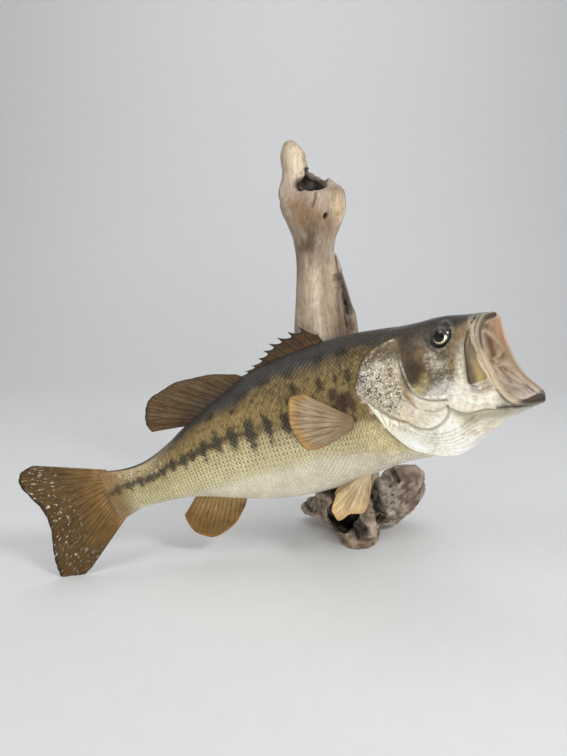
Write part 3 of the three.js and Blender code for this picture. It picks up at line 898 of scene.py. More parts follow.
def headColour(points, colour, plate=False):
    # lays the head's marks over the body's colour; also returns their height in millimetres
    forward, _, up = headCoords(points)
    on = np.ones(len(points)) if plate else onHead(forward, up)
    broad, small = noiseAt(points, 60, 11.3), noiseAt(points, 260, 5.9)
    low = up + 4 * broad + 2.5 * small
    cover = smoothStep(-80, -90, forward)
    base = lay(headPaint["top"], headPaint["temple"], smoothStep(4, -6, low))
    base = lay(base, headPaint["cheek"], smoothStep(-12, -26, low))
    base = lay(base, headPaint["lowCheek"], smoothStep(-38, -52, low) * (1 - cover))
    base = lay(base, headPaint["premaxilla"], smoothStep(-20, -15, forward) * smoothStep(8, 2, up))
    covered = lay(headPaint["coverTop"], headPaint["cover"], smoothStep(-2, -20, low))
    base = lay(base, covered, cover * smoothStep(12, 5, up))
    base = lay(base, headPaint["throat"], smoothStep(-68, -84, low) * smoothStep(-30, -48, forward))
    base = lay(base, headPaint["jaw"], smoothStep(-58, -66, low) * smoothStep(-52, -38, forward))
    colour = lay(colour, base, on)
    tiny = noiseAt(points, 520, 31.0)
    uneven = near0to1(0.92 + 0.55 * small + 0.3 * tiny)
    colour, height = layMarks(forward, up, headMarks, colour, np.zeros(len(points)), on * uneven)
    height += on * (0.22 * small + 0.1 * tiny)
    wave, within = foldWave(forward, up)
    # painted shade in the creases between the folds, a little lighter on their ridges
    colour = colour * (1 + 0.17 * (wave - 0.75) * within)[..., None]
    height += folds["height"] * wave * within
    behind = nearLine(forward, up, headEdge[8:])[0]
    height += 1.8 * on * np.exp(-behind / 9) * smoothStep(-33, -42, up)
    # a painted shadow of the gill membrane's raised edge, on the body just behind it
    shown = 0.85 * (1 - on) * hill(behind, 0, 6.5) * smoothStep(-30, -40, up) * smoothStep(-112, -90, up)
    colour = lay(colour, headPaint["flapShadow"], shown)
    away = np.hypot(forward - eye["forward"], up - eye["up"])
    height += 0.9 * hill(away, 11.4, 1.1) - 0.5 * hill(away, 13.6, 0.9)
    colour = lay(colour, headPaint["eyeRim"], 0.7 * hill(away, 11.2, 0.8))
    colour = lay(colour, headPaint["eyeEdge"], 0.85 * hill(away, 9.9, 0.9))
    patchy = smoothStep(-62, -20, up) * smoothStep(0, -0.3, tiny + 0.6 * small)
    colour = lay(colour, headPaint["patch"], 0.4 * patchy * smoothStep(-28, -40, forward))
    return colour * (1 + 0.16 * broad + 0.24 * small + 0.24 * tiny)[..., None], height


def mouthColour(share, turn, points):
    half = fromBack(turn)
    small = noiseAt(points, 200, 2.2)
    slant = share * mouthDepth + half * 40
    streaks = noiseAt(np.c_[slant * 0.0016, half * 0.03, 0 * share], 260, 41.0)
    colour = lay(mouthPaint["roof"], mouthPaint["floor"], smoothStep(0.22, 0.34, half))
    # painted shade, darker deeper into the mouth
    colour = lay(colour, mouthPaint["deep"], smoothStep(0.4, 0.95, share) * 0.9)
    flat = np.zeros(len(points))
    colour, height = layMarks(share * mouthDepth, half * mouthGirth, mouthLines, colour, flat)
    inner = smoothStep(0.01, 0.06, share)
    return colour * (1 + 0.22 * small + 0.42 * streaks * inner)[..., None], height + 0.5 * streaks * inner


def lipColour(share, turn):
    # from the outside of the lip, over its crest, to the lining
    half = fromBack(turn)
    upper = smoothStep(0.21, 0.17, half)
    lower = smoothStep(0.38, 0.43, half)
    colour = lay(lipPaint["corner"], lipPaint["upper"], upper)
    colour = lay(colour, lipPaint["lower"], lower)
    crest = lay(lipPaint["crest"], lipPaint["darkCrest"], lower)
    near, far = (lay(crest, lipPaint[key], upper) for key in ("darkCrest", "farCrest"))
    crest = np.where((turn % 1 < 0.5)[:, None], near, far)
    colour = lay(colour, crest, smoothStep(0.2, 0.45, share))
    return lay(colour, lipPaint["line"], 0.8 * hill(share, 0.42, 0.1) * smoothStep(0.43, 0.46, half))


headStart = 0.64  # the head's marks lie ahead of this place
glitterAreas = {
    "cover": [*headEdge[2:9], (-122, -46), (-110, -56), (-97, -62), (-86, -52), (-88, -30), (-89, 4)],
    "cheek": [(-60, -18), (-46, -21), (-36, -24), (-35, -44), (-44, -54), (-56, -50), (-62, -38)],
    "front": [(-38, 0), (-31, -4), (-34, -14)],
}


def skinColour(where, turn, points, plate=False):
    # what skin, scales and plates are all painted with; also its height in millimetres
    colour = bodyColour(np.minimum(where, 0.78), turn, points)
    head = where > headStart
    height = np.zeros(len(points))
    if head.any():
        colour[head], height[head] = headColour(points[head], colour[head], plate)
    return settle(colour), height


def skinFinish(where, turn, points, plate=False):
    # glitter, the dark dash on each scale, and how much of a scale is dark
    down = fromStripe(where, turn)
    forward, _, up = headCoords(points)
    head = np.where(where > headStart, 1 if plate else onHead(forward, up), 0)
    cover = inside(forward, up, glitterAreas["cover"], 4) * (0.55 + 0.45 * smoothStep(-4, -16, up))
    cheek = inside(forward, up, glitterAreas["cheek"], 5)
    front = stroke(forward, up, glitterAreas["front"], 3.5)
    stalk = (1 - smoothStep(0.1, 0.24, where)) * (0.25 + 0.75 * smoothStep(2, -4, down))
    stalk = stalk * smoothStep(0.02, 0.1, fromBack(turn))
    glitter = 0.02 + 0.6 * stalk * (1 - head) * smoothStep(0.0, 0.04, where)
    onFace = np.maximum(cover, 0.62 * np.maximum(cheek, front))
    glitter = glitter * (1 - head) + head * np.maximum(0.1 * smoothStep(-60, -30, up), onFace)
    blotch = blotchAt(where, down, points) * (1 - head)
    low = 26 - 14 * (1 - smoothStep(0.1, 0.3, where))
    dash = smoothStep(-3, 5, down) * (1 - smoothStep(low, 52, down)) * (1 - head)
    dash = dash * (1 - 0.8 * smoothStep(0.6, 0.72, where))
    return np.c_[near0to1(glitter), near0to1(np.maximum(dash, 1.1 * blotch)), near0to1(blotch)]


# the fish's materials


foilTones = [
    (0.0, (0.34, 0.25, 0.14)), (0.35, (0.62, 0.5, 0.32)), (0.6, (0.85, 0.78, 0.62)), (0.9, (0.95, 0.94, 0.9)),
]


def makeGlitter():
    # crinkled foil: where its flecks and the dark paint between them lie, their tone and height
    tree, given, out = group(
        "glitter",
        {"Amount": ("value", 0.5), "Size": ("value", 1.0)},
        {"Fleck": "value", "Dark": "value", "Shade": "colour", "Height": "value"},
    )
    where, amount = objectPlace(tree), given.outputs["Amount"]
    bent = noiseTexture(tree, where, 380.0, 3.0).outputs["Color"]
    moved = node(tree, "ShaderNodeVectorMath", {0: bent, "Scale": 0.003}, operation="SCALE").outputs[0]
    shifted = node(tree, "ShaderNodeVectorMath", {0: where, 1: moved}, operation="ADD").outputs[0]
    scale = times(tree, given.outputs["Size"], 560.0)
    cells = node(tree, "ShaderNodeTexVoronoi", {"Vector": shifted, "Scale": scale})
    own = node(tree, "ShaderNodeSeparateColor", {"Color": cells.outputs["Color"]}).outputs
    broad = minus(tree, noiseTexture(tree, where, 150.0, 3.0).outputs[0], 0.2)
    both = plus(tree, times(tree, own[0], 0.55), times(tree, broad, 0.75))
    limit = minus(tree, 1.0, times(tree, amount, 0.66))
    under = times(tree, minus(tree, 0.43, both), 6.0, clamped=True)
    crinkle = noiseTexture(tree, where, 620.0, 3.0).outputs[0]
    height = plus(tree, crinkle, times(tree, own[1], 0.9))
    made = {
        "Fleck": times(tree, minus(tree, both, limit), 3.2, clamped=True),
        "Dark": times(tree, under, amount),
        "Shade": ramp(tree, own[2], foilTones),
        "Height": times(tree, height, amount),
    }
    for label, socket in made.items():
        tree.links.new(socket, out.inputs[label])
    return tree


glitterFoil = makeGlitter()


def makeDashes(tree, dash, blotch, colour):
    # an upright dark dash near each scale's free edge, wider in the blotches; also the scale's rings
    own = node(tree, "ShaderNodeUVMap", uv_map="scale").outputs[0]
    waver = noiseTexture(tree, objectPlace(tree), 700.0, 2.0).outputs[0]
    ends = node(tree, "ShaderNodeSeparateXYZ", {0: own}).outputs
    along = plus(tree, ends[1], times(tree, minus(tree, waver, 0.5), 0.12))
    middle = maths(tree, "ABSOLUTE", minus(tree, ends[0], 0.5))
    edge = ramp(tree, along, [(0.75, 0.0), (0.82, 1.0), (0.9, 1.0), (0.98, 0.0)])
    thin = times(tree, edge, ramp(tree, middle, [(0.34, 1.0), (0.46, 0.0)]))
    thick = ramp(tree, along, [(0.58, 0.25), (0.74, 1.0), (0.93, 1.0), (1.0, 0.45)])
    dashed = times(tree, thin, times(tree, dash, 0.95))
    mark = maths(tree, "MAXIMUM", dashed, times(tree, thick, blotch))
    shade = ramp(tree, blotch, [(0.25, (0.1, 0.08, 0.036)), (0.6, (0.03, 0.027, 0.018))])
    inputs = {"Vector": own, "Scale": 4.0, "Distortion": 0.6}
    rings = node(tree, "ShaderNodeTexWave", inputs, wave_type="RINGS").outputs[1]
    return blendColours(tree, times(tree, mark, 0.92, clamped=True), colour, shade), rings


def makeFishPaint(name, scaled):
    made, tree, shader = newMaterial(
        name,
        {
            "IOR": 1.45, "Coat Weight": 0.12, "Coat Roughness": 0.2,
            "Specular IOR Level": 0.3 if scaled else 0.4
        },
    )
    painted = attribute(tree, "paint").outputs["Color"]
    glitter, dash, blotch = finishParts(tree)
    flecked = place(tree, flecks, {"Color": painted, "Scale": 900.0, "Amount": 0.28, "Warm": 0.05})
    colour, height = flecked["Color"], flecked["Height"]
    if scaled:
        colour, rings = makeDashes(tree, dash, blotch, colour)
        height = plus(tree, height, times(tree, rings, 0.15))
    foil = place(tree, glitterFoil, {"Amount": glitter, "Size": 1.3})
    colour = blendColours(tree, times(tree, foil["Dark"], 0.9), colour, (0.1, 0.072, 0.04, 1))
    colour = blendColours(tree, times(tree, foil["Fleck"], 0.85), colour, foil["Shade"])
    tree.links.new(colour, shader.inputs["Base Color"])
    tree.links.new(times(tree, foil["Fleck"], 0.45), shader.inputs["Metallic"])
    dull = ramp(tree, glitter, [(0.15, 0.42 if scaled else 0.3), (0.8, 0.24)])
    tree.links.new(dull, shader.inputs["Roughness"])
    tall = plus(tree, times(tree, height, 0.35 if scaled else 0.9), times(tree, foil["Height"], 1.9))
    addBump(tree, shader, tall, 0.7, 0.0006)
    return made


skinMaterial = makeFishPaint("paintedSkin", False)
scaleMaterial = makeFishPaint("paintedScales", True)

# skin

skin = {
    "depth": 0.8,  # millimetres under the scales
    "rows": 400,
    "columns": {"cap": 5, "trunk": 40, "head": 142, "lip": 10, "lining": 36, "throat": 5},
    "bare": (0.72, 0.78),  # the places between which the coat gives way to bare skin
    "trunkEnd": 0.74,
    "liningEnd": 0.9,  # the share of the mouth's depth where the throat starts
}
zoneEnds = np.cumsum(list(skin["columns"].values())) / sum(skin["columns"].values())


def skinDepth(where):
    # millimetres that the skin lies under the body's surface, to leave room for the coat
    return skin["depth"] * (1 - smoothStep(*skin["bare"], where))


def skinZones(u):
    # the name of the zone that a column lies in, and how far along it
    zone = np.clip(np.searchsorted(zoneEnds, u - 1e-6), 0, len(zoneEnds) - 1)
    start = np.r_[0, zoneEnds][zone]
    return np.array(list(skin["columns"]))[zone], near0to1((u - start) / (zoneEnds[zone] - start))


def zonePlace(names, share):
    # the place on the body: 0 on the tail's cap, and 1 from the lip inwards
    end = skin["trunkEnd"]
    zones = [names == "cap", names == "trunk", names == "head"]
    return np.select(zones, [0.0, end * share, end + (1 - end) * share], 1.0)


def lipPoint(share, turn):
    # the rounded lip, from the outer skin over its crest to the lining
    rest = 1 - share
    out = lip * rest**3 + 3 * 4.9 * share * rest**2 + 3 * 0.9 * share**2 * rest
    back = lipBack * rest**3 - 3 * 2.2 * share * rest**2 - 3 * 2.6 * share**2 * rest
    return rimPoint(turn, out, back)


def eyeSocket(points):
    # the skin sinks under the eye
    forward, sideways, up = headCoords(points)
    away = np.hypot(forward - eye["forward"], up - eye["up"])
    dome = eye["radius"] * eye["flatness"] * np.sqrt(near0to1(1 - (away / eye["radius"]) ** 2))
    level = eye["sideways"] + dome - 1.2
    share = 1 - smoothStep(eye["opening"] - 0.5, eye["opening"] + 0.9, away)
    change = np.where(away < 12, share * (np.minimum(level, np.abs(sideways)) - np.abs(sideways)), 0)
    return points + (np.sign(sideways) * change)[:, None] * headFrame[2] / 1000


def jawTip(points):
    # the jaw's tip is thick and blunt
    forward, _, up = headCoords(points)
    near = smoothStep(6, 17, forward) * smoothStep(-68, -76, up)
    rise = near * 4.2 * smoothStep(-86, -80, up)
    return points + (headFrame[3] * rise[:, None] - headFrame[1] * (near * 2.0)[:, None]) / 1000


crown = headCoords(surfacePoint(np.linspace(0.6, 1, 80), 0.0))


def foreheadRise(points):
    # the forehead and the snout's ridge stand a little higher than the plain section
    forward, _, up = headCoords(points)
    top = np.interp(forward, crown[0], crown[2])
    rise = 3.2 * hill(forward, -46, 24) + 1.4 * hill(forward, -8, 12)
    rise = rise * smoothStep(top - 7, top - 0.5, up) * smoothStep(9, 3, forward)
    return points + headFrame[3] * rise[:, None] / 1000


def skinAt(u, v):
    names, share = skinZones(u)
    points = np.zeros((len(u), 3))
    mine = np.isin(names, ("cap", "trunk", "head"))
    where, turn = zonePlace(names, share)[mine], v[mine]
    surface = surfacePoint(where, turn)
    outward = surfacePoint(where, turn, 1.0) - surface
    _, height = skinColour(where, turn, surface)
    points[mine] = surface + outward * (height - skinDepth(where))[:, None]
    mine = names == "cap"
    middle = bodyFrame(np.array([0.0]), np.array([-3.0]))[0]
    points[mine] += (middle - points[mine]) * (1 - share[mine])[:, None]
    mine = names == "lip"
    points[mine] = lipPoint(share[mine], v[mine])
    mine = names == "lining"
    depth, turn = share[mine] * skin["liningEnd"], v[mine]
    lining = liningPoint(depth, turn)
    inward = unit(headFrame[0] - headFrame[1] * 0.02 - lining)
    _, ridges = mouthColour(depth, turn, lining)
    points[mine] = lining + inward * (ridges * smoothStep(0, 0.06, share[mine]) / 1000)[:, None]
    mine = names == "throat"
    last = liningPoint(skin["liningEnd"], v[mine])
    middle = liningPoint(skin["liningEnd"], np.linspace(0, 1, 60)).mean(0) - headFrame[1] * 0.004
    points[mine] = last + (middle - last) * share[mine][:, None]
    return jawTip(eyeSocket(foreheadRise(points)))


def skinMarks(u, v):
    names, share = skinZones(u)
    lining, throat = names == "lining", names == "throat"
    return {
        "where": zonePlace(names, share),
        "turn": v,
        "inner": np.select([lining, throat], [skin["liningEnd"] * share, 0.95], 0),
        "rim": np.select([names == "lip", lining | throat], [share, 1], 0),
    }


def makeSkin():
    piece = gridMesh("skin", sum(skin["columns"].values()), skin["rows"], skinAt, skinMarks)
    where, turn, inner, rim = (markOf(piece, label) for label in ("where", "turn", "inner", "rim"))
    surface = surfacePoint(where, turn)
    colour, _ = skinColour(where, turn, surface)
    colour = lay(colour, lipColour(rim, turn), smoothStep(0.0, 0.2, rim))
    mouth, _ = mouthColour(inner, turn, pointsOf(piece))
    colour = lay(colour, np.minimum(mouth * [0.96, 1.03, 1.14], palest), smoothStep(0.0, 0.05, inner))
    paint(piece, colour, skinFinish(where, turn, surface))
    flesh = ("head", "upper_jaw", "lower_jaw", "throat", "trunk_front", "trunk_rear", "tail_stalk")
    dress(piece, skinMaterial, "skin", *flesh)


makeCamera()
makeLamps()
makeSkin()

# scales

coat = {
    "spacing": 4.9,  # millimetres from scale to scale along a row
    "row": 2.75,  # from one row to the next, half a scale apart
    "overlap": 2.05,
    "wide": 2.75,
    "lift": 0.26,
    "thickness": 0.14,
    "tailSize": 0.62,
    "front": 0.8,
    "back": 0.004,
    "rows": (-100, 130),  # counted downwards from the stripe
    "cells": 4,
    "parts": 3,
}
# the small scales of the face: where they grow, forward and up from the snout
cheekCoat = {
    **coat, "spacing": 2.3, "row": 1.9, "lift": 0.16, "thickness": 0.1, "tailSize": 1, "front": 0.93,
    "back": 0.8, "cells": 3, "parts": 1,
    "area": [
        (-56, -17), (-48, -20), (-38, -21), (-33, -28), (-34, -44), (-40, -53), (-52, -55), (-66, -52),
        (-75, -43), (-79, -30), (-81, -14), (-78, 0), (-68, 1), (-61, -8)
    ],
}
coverCoat = {
    **coat, "spacing": 3.4, "row": 2.8, "lift": 0.2, "thickness": 0.12, "tailSize": 1, "front": 0.84,
    "back": 0.68, "cells": 3, "parts": 1,
    "area": [
        (-89, 3), (-100, 4), (-111, 1), (-119, -5), (-125, -15), (-130, -30), (-121, -42), (-111, -53),
        (-102, -60), (-92, -62), (-84, -52), (-87, -40), (-89, -26), (-91, -10)
    ],
}
gillCover = {
    "front": [
        (0.8, 0.095), (0.806, 0.124), (0.816, 0.159), (0.82, 0.194), (0.828, 0.23), (0.838, 0.26),
        (0.846, 0.276), (0.838, 0.3)
    ],
    "rear": [
        (0.794, 0.095), (0.771, 0.105), (0.751, 0.118), (0.733, 0.129), (0.719, 0.144), (0.709, 0.159),
        (0.702, 0.18), (0.693, 0.2), (0.687, 0.2145), (0.6855, 0.2195), (0.689, 0.2235), (0.697, 0.228),
        (0.712, 0.24), (0.729, 0.256), (0.75, 0.276), (0.767, 0.29), (0.793, 0.311),
    ],
    "columns": 130,
    "rows": 40,
    "lift": 3.4,  # millimetres of its rear edge over the skin
}


def coverRise(forward, up):
    # how high the gill cover stands over the skin
    behind = nearLine(forward, up, headEdge[3:12])[0]
    return 0.25 + gillCover["lift"] * (1 - smoothStep(0, 38, behind)) * (0.3 + 0.7 * hill(up, -26, 26))


# how finely the skin's reach around the body is measured, up to a place ahead of the scales
reachTable = {"end": 0.96, "places": 145, "turns": 161}


def scaleTemplate(cells):
    # one scale as a thin closed plate: across and along from 0 to 1, and up to 1 when on top
    bm = bmesh.new()
    bmesh.ops.create_grid(bm, x_segments=cells, y_segments=cells, size=0.5)
    bmesh.ops.translate(bm, verts=bm.verts, vec=(0.5, 0.5, 1))
    grown = bmesh.ops.extrude_face_region(bm, geom=bm.faces[:], use_keep_orig=True)
    lowered = [item for item in grown["geom"] if isinstance(item, bmesh.types.BMVert)]
    bmesh.ops.translate(bm, verts=lowered, vec=(0, 0, -1))
    bmesh.ops.recalc_face_normals(bm, faces=bm.faces)
    corners = np.array([vert.co[:] for vert in bm.verts])
    faces = [[vert.index for vert in face.verts] for face in bm.faces]
    bm.free()
    return corners, np.array(faces)


def girthTable():
    # millimetres of skin from the stripe, for places and turns
    places = np.linspace(0, reachTable["end"], reachTable["places"])
    turns = np.linspace(0, 0.5, reachTable["turns"])
    grid = surfacePoint(places[:, None], turns[None, :])
    steps = np.linalg.norm(np.diff(grid, axis=1), axis=-1) * 1000
    reach = np.c_[np.zeros(len(places)), np.cumsum(steps, axis=1)]
    start = np.array([np.interp(stripe, turns, row) for stripe, row in zip(stripeAt(places), reach)])
    return turns, reach - start[:, None]


tableTurns, tableReach = girthTable()


def turnAt(where, down):
    # the turn that lies so many millimetres below the stripe; also how far beyond the midlines
    last = reachTable["places"] - 1
    spot = np.clip(where / reachTable["end"] * last, 0, last - 0.001)
    i = np.floor(spot).astype(int)
    table = tableReach[i] * (1 - (spot - i))[:, None] + tableReach[i + 1] * (spot - i)[:, None]
    turn = np.array([np.interp(d, row, tableTurns) for row, d in zip(table, down)])
    return turn, np.maximum(table[:, 0] - down, down - table[:, -1])


def scalePlaces(shape):
    # the roots of all scales of one side: place, turn, size and 1 for every second column
    roots = []
    where = shape["front"]
    while where > shape["back"]:
        size = shape["tailSize"] + (1 - shape["tailSize"]) * float(smoothStep(0.02, 0.42, where))
        for odd in (0, 1):
            here = where - odd * shape["spacing"] * size / 2000 / length
            for j in range(*shape["rows"]):
                if j % 2 == odd:
                    roots.append((here, j * shape["row"] * size, size, odd))
        where -= shape["spacing"] * size / 1000 / length
    roots = np.array(roots)
    turn, beyond = turnAt(roots[:, 0], roots[:, 1])
    fits = beyond < 0.35 * shape["row"] * roots[:, 2]
    roots = np.c_[roots[fits, 0], turn[fits], roots[fits, 2:]]
    forward, _, up = headCoords(surfacePoint(roots[:, 0], roots[:, 1]))
    if "area" in shape:
        return roots[inside(forward, up, shape["area"], 0.5) > 0.5]
    return roots[onHead(forward, up, 0.5) < 0.5]


def restHeight(where, turn, shape):
    # millimetres from the body's surface to what the scales lie on
    if shape is coat:
        return -skinDepth(where)
    points = surfacePoint(where, turn)
    forward, _, up = headCoords(points)
    if shape is coverCoat:
        return coverRise(forward, up)
    return headColour(points, np.zeros((len(where), 3)))[1]


def makeScales(name, roots, far, shape):
    # lays a scale on every root, as one mesh
    corners, faces = scaleTemplate(shape["cells"])
    rng = np.random.default_rng(7)
    count, many = len(roots), len(corners)
    where, turn, size, odd = roots.T
    jitter = rng.normal(0, 1, (count, 4))
    across, along, top = corners.T
    wide = shape["wide"] * shape["row"] * size * (1 + 0.04 * jitter[:, 0])
    long = shape["overlap"] * shape["spacing"] * size * (1 + 0.03 * jitter[:, 1])
    spread = (across - 0.5) * 2
    bow = 1 - 0.42 * spread**2
    x = along[None] * bow[None] * long[:, None] - 0.06 * shape["spacing"] * size[:, None]
    y = spread[None] * np.sqrt(near0to1(1 - 0.35 * (1 - along) ** 2))[None] * wide[:, None] / 2
    y = y * (1 - 0.28 * along[None] ** 3 * np.abs(spread[None]))
    placeHere = where[:, None] - x / 1000 / length
    turnHere = turn[:, None] + y / girth(where, np.clip(turn, 0.01, 0.49))[:, None]
    # the back and the belly are smoother than the flank
    half = np.abs(turn)
    flat = 0.16 + 0.84 * smoothStep(0.08, 0.22, half) * smoothStep(0.4, 0.28, half)
    base = restHeight(placeHere.ravel(), turnHere.ravel(), shape).reshape(placeHere.shape)
    rise = base + 0.02 + along[None] * shape["lift"] * (flat * size)[:, None]
    rise = rise + (0.3 * shape["lift"] * size * flat)[:, None] * (1 - spread[None] ** 2) * along[None]
    rise = rise + (0.06 * shape["lift"] * flat * jitter[:, 2])[:, None] * along[None]
    rise = rise + (top[None] - 1) * (shape["thickness"] * (0.2 + 0.8 * flat))[:, None]
    if far:
        turnHere = 1 - turnHere
    points = surfacePoint(placeHere.ravel(), turnHere.ravel(), rise.ravel())
    mesh = bpy.data.meshes.new(name)
    allFaces = (faces[None] + np.arange(count)[:, None, None] * many).reshape(-1, 4)
    if far:
        allFaces = allFaces[:, ::-1]
    mesh.from_pydata(points, [], allFaces)
    mesh.update()
    plate = shape is coverCoat
    rootTurn = 1 - turn if far else turn
    shown = where - 1.5 * shape["spacing"] * size / 1000 / length
    middle = surfacePoint(shown, rootTurn)
    colour, _ = skinColour(placeHere.ravel(), turnHere.ravel(), points, plate)
    colour = np.clip(colour * np.repeat(1 + 0.035 * jitter[:, 3:4], many, axis=0), 0.003, palest)
    finish = skinFinish(shown, rootTurn, middle, plate)
    if shape is coat:
        down = fromStripe(shown, turn)
        fleck = (rng.random(count) < 0.1) & (down < 2) & (turn > 0.1)
        finish[:, 1] *= 1 - 0.95 * odd * (1 - finish[:, 2])
        finish[:, 1] = near0to1(finish[:, 1] * (0.7 + 0.4 * rng.random(count)) + np.where(fleck, 0.9, 0))
    loops = allFaces.ravel()
    baked = mesh.uv_layers.new(name="OFBake")
    own = mesh.uv_layers.new(name="scale")
    owner, corner = loops // many, loops % many
    spot = np.c_[where * 0.95 + 0.02, 0.02 + 0.95 * rootTurn % 1]
    local = corners[corner][:, :2]
    baked.data.foreach_set("uv", (spot[owner] + (local - 0.5) * 0.003).ravel())
    own.data.foreach_set("uv", local.ravel())
    piece = finishMesh(name, mesh)
    paint(piece, colour, np.repeat(finish, many, axis=0))
    dress(piece, scaleMaterial, "skin")


def makeCoat():
    for title, shape in (("scales", coat), ("cheekScales", cheekCoat), ("coverScales", coverCoat)):
        roots = scalePlaces(shape)
        roots = roots[np.argsort(roots[:, 0])]
        print(title, "on a side", len(roots))
        for k, some in enumerate(np.array_split(roots, shape["parts"])):
            for sideName, far in (("Right", False), ("Left", True)):
                number = k + 1 if shape["parts"] > 1 else ""
                makeScales(f"{title}{sideName}{number}", some, far, shape)


makeCoat()

# eyes


def makeEye(name, side, replaced):
    bm = bmesh.new()
    bmesh.ops.create_uvsphere(bm, u_segments=64, v_segments=40, radius=1)
    layer = bm.verts.layers.float.new("ring")
    tall = bm.verts.layers.float.new("low")
    _, along, across, up = headFrame
    middle = fromSnout(eye["forward"], side * eye["sideways"], eye["up"])
    for vert in bm.verts:
        x, y, z = vert.co
        vert[layer] = math.acos(max(-1, min(1, 0.11 * x + 0.994 * z))) / math.pi
        vert[tall] = 0.5 - 0.5 * y / max(math.hypot(x, y), 1e-6)
        reach = along * x + up * y + side * across * z * eye["flatness"]
        vert.co = middle + reach * eye["radius"] / 1000
    bmesh.ops.recalc_face_normals(bm, faces=bm.faces)
    dress(finishMesh(name, keepMesh(name, bm)), eyeMaterial, "eye", replaced)


# rings of colour from the pupil outwards; on the lower half the ring is painted bright, a painted reflection
# over the iris's dim gold
eyeRings = {
    "above": [
        (0.0, (0.002, 0.002, 0.002)), (0.172, (0.003, 0.003, 0.003)), (0.182, (0.2, 0.18, 0.13)),
        (0.196, (0.07, 0.062, 0.05)), (0.26, (0.05, 0.045, 0.036)), (0.29, (0.12, 0.11, 0.1)),
        (0.335, (0.02, 0.018, 0.015)),
    ],
    "below": [
        (0.0, (0.002, 0.002, 0.002)), (0.168, (0.003, 0.003, 0.003)), (0.18, (0.95, 0.86, 0.66)),
        (0.215, (0.8, 0.66, 0.42)), (0.24, (0.2, 0.17, 0.12)), (0.285, (0.1, 0.09, 0.07)),
        (0.335, (0.02, 0.018, 0.015)),
    ],
    "silver": [(0.175, 0.0), (0.19, 0.7), (0.3, 0.5), (0.35, 0.0)],
}


def makeEyePaint():
    constants = {"Roughness": 0.3, "Coat Weight": 1.0, "Coat Roughness": 0.02, "Specular IOR Level": 0.0}
    made, tree, shader = newMaterial("glassEye", constants)
    ringed, low = (attribute(tree, name).outputs["Fac"] for name in ("ring", "low"))
    grain = noiseTexture(tree, objectPlace(tree), 900.0, 4.0).outputs[0]
    wavered = plus(tree, ringed, times(tree, minus(tree, grain, 0.5), 0.012))
    above, below, silver = (ramp(tree, wavered, eyeRings[key]) for key in ("above", "below", "silver"))
    # the lower half takes the brighter rings: a painted reflection in the lower iris
    colour = blendColours(tree, ramp(tree, low, [(0.4, 0.0), (0.85, 1.0)]), above, below)
    flecked = place(tree, flecks, {"Color": colour, "Scale": 2200.0, "Amount": 0.5, "Warm": 0.0})
    tree.links.new(flecked["Color"], shader.inputs["Base Color"])
    tree.links.new(silver, shader.inputs["Metallic"])
    return made


eyeMaterial = makeEyePaint()
makeEye("eyeRight", 1, "eye_right")
makeEye("eyeLeft", -1, "eye_left")

# gill covers and jaw plates

gillFlap = {
    "inner": [
        (0.7, 0.222), (0.72, 0.236), (0.742, 0.253), (0.765, 0.276), (0.785, 0.31), (0.8, 0.345),
        (0.812, 0.38), (0.828, 0.42)
    ],
    "outer": [
        (0.684, 0.2205), (0.697, 0.233), (0.711, 0.247), (0.724, 0.272), (0.743, 0.318), (0.759, 0.355),
        (0.784, 0.409), (0.818, 0.455)
    ],
    "columns": 130,
    "rows": 34,
    "lift": 1.5,
}
maxilla = {
    "rear": [
        (-19, 29, -6), (-21, 33, -16), (-22.5, 35, -30), (-24.5, 36, -43), (-26, 37, -52),
        (-24.5, 37, -55.5)
    ],
    "front": [
        (-17.2, 25, -10), (-15, 29, -22), (-12.6, 31.5, -33), (-9.8, 33, -43), (-6.6, 34, -51),
        (-6.8, 34.5, -55)
    ],
    "shift": {"Right": 0, "Left": -5},
    "thickness": 3.3,
    "columns": 100,
    "rows": 26,
    "bare": tone(92, 82, 64),
    "plate": tone(140, 124, 94),
    "yellow": tone(170, 144, 92),
    "rearEdge": tone(60, 50, 38),
    "frontEdgeHighlight": tone(196, 182, 156),
    "end": tone(190, 178, 156),
}
coverPaint = {
    "corner": tone(110, 92, 64),
    "membrane": tone(232, 222, 200),
    "membraneRoot": tone(150, 134, 104),
}


def closedSheet(name, columns, rows, at, thick):
    # a thin closed piece on both sides of at(x, y); its x and y are kept on its points
    def split(v):
        front = v < 0.5
        return np.where(front, 2 * v, 2 - 2 * v), np.where(front, 1.0, -1.0)

    def placeAt(u, v):
        y, face = split(v)
        step = 1e-3
        dx = at(near0to1(u + step), y) - at(near0to1(u - step), y)
        dy = at(u, near0to1(y + step)) - at(u, near0to1(y - step))
        normal = unit(np.cross(dx, dy))
        return at(u, y) + normal * (face * thick(u, y, face) / 1000)[:, None]

    def marks(u, v):
        return {"finX": u, "finY": split(v)[0]}

    return gridMesh(name, columns, 2 * rows, placeAt, marks)


def taper(x, ends):
    # a rounded closing towards both ends, over a share of the length
    near = np.minimum(x, 1 - x) / ends
    return np.sqrt(near0to1(1 - (1 - near0to1(near)) ** 2))


def betweenEdges(first, second):
    # place and turn between two lines, for shares along them and from one to the other
    start, end = (spline([(x, y, 0) for x, y in line]) for line in (first, second))

    def at(x, y):
        spot = start(x) * (1 - y)[:, None] + end(x) * y[:, None]
        return spot[:, 0], spot[:, 1]

    return at


def onSide(turn, side):
    return turn if side > 0 else 1 - turn


def freeEdge(y, root):
    # thickens over a share from the root, and rounds off the free edge
    return np.where(y > 0.93, np.sqrt(near0to1(1 - ((y - 0.93) / 0.07) ** 2)), smoothStep(0, root, y))


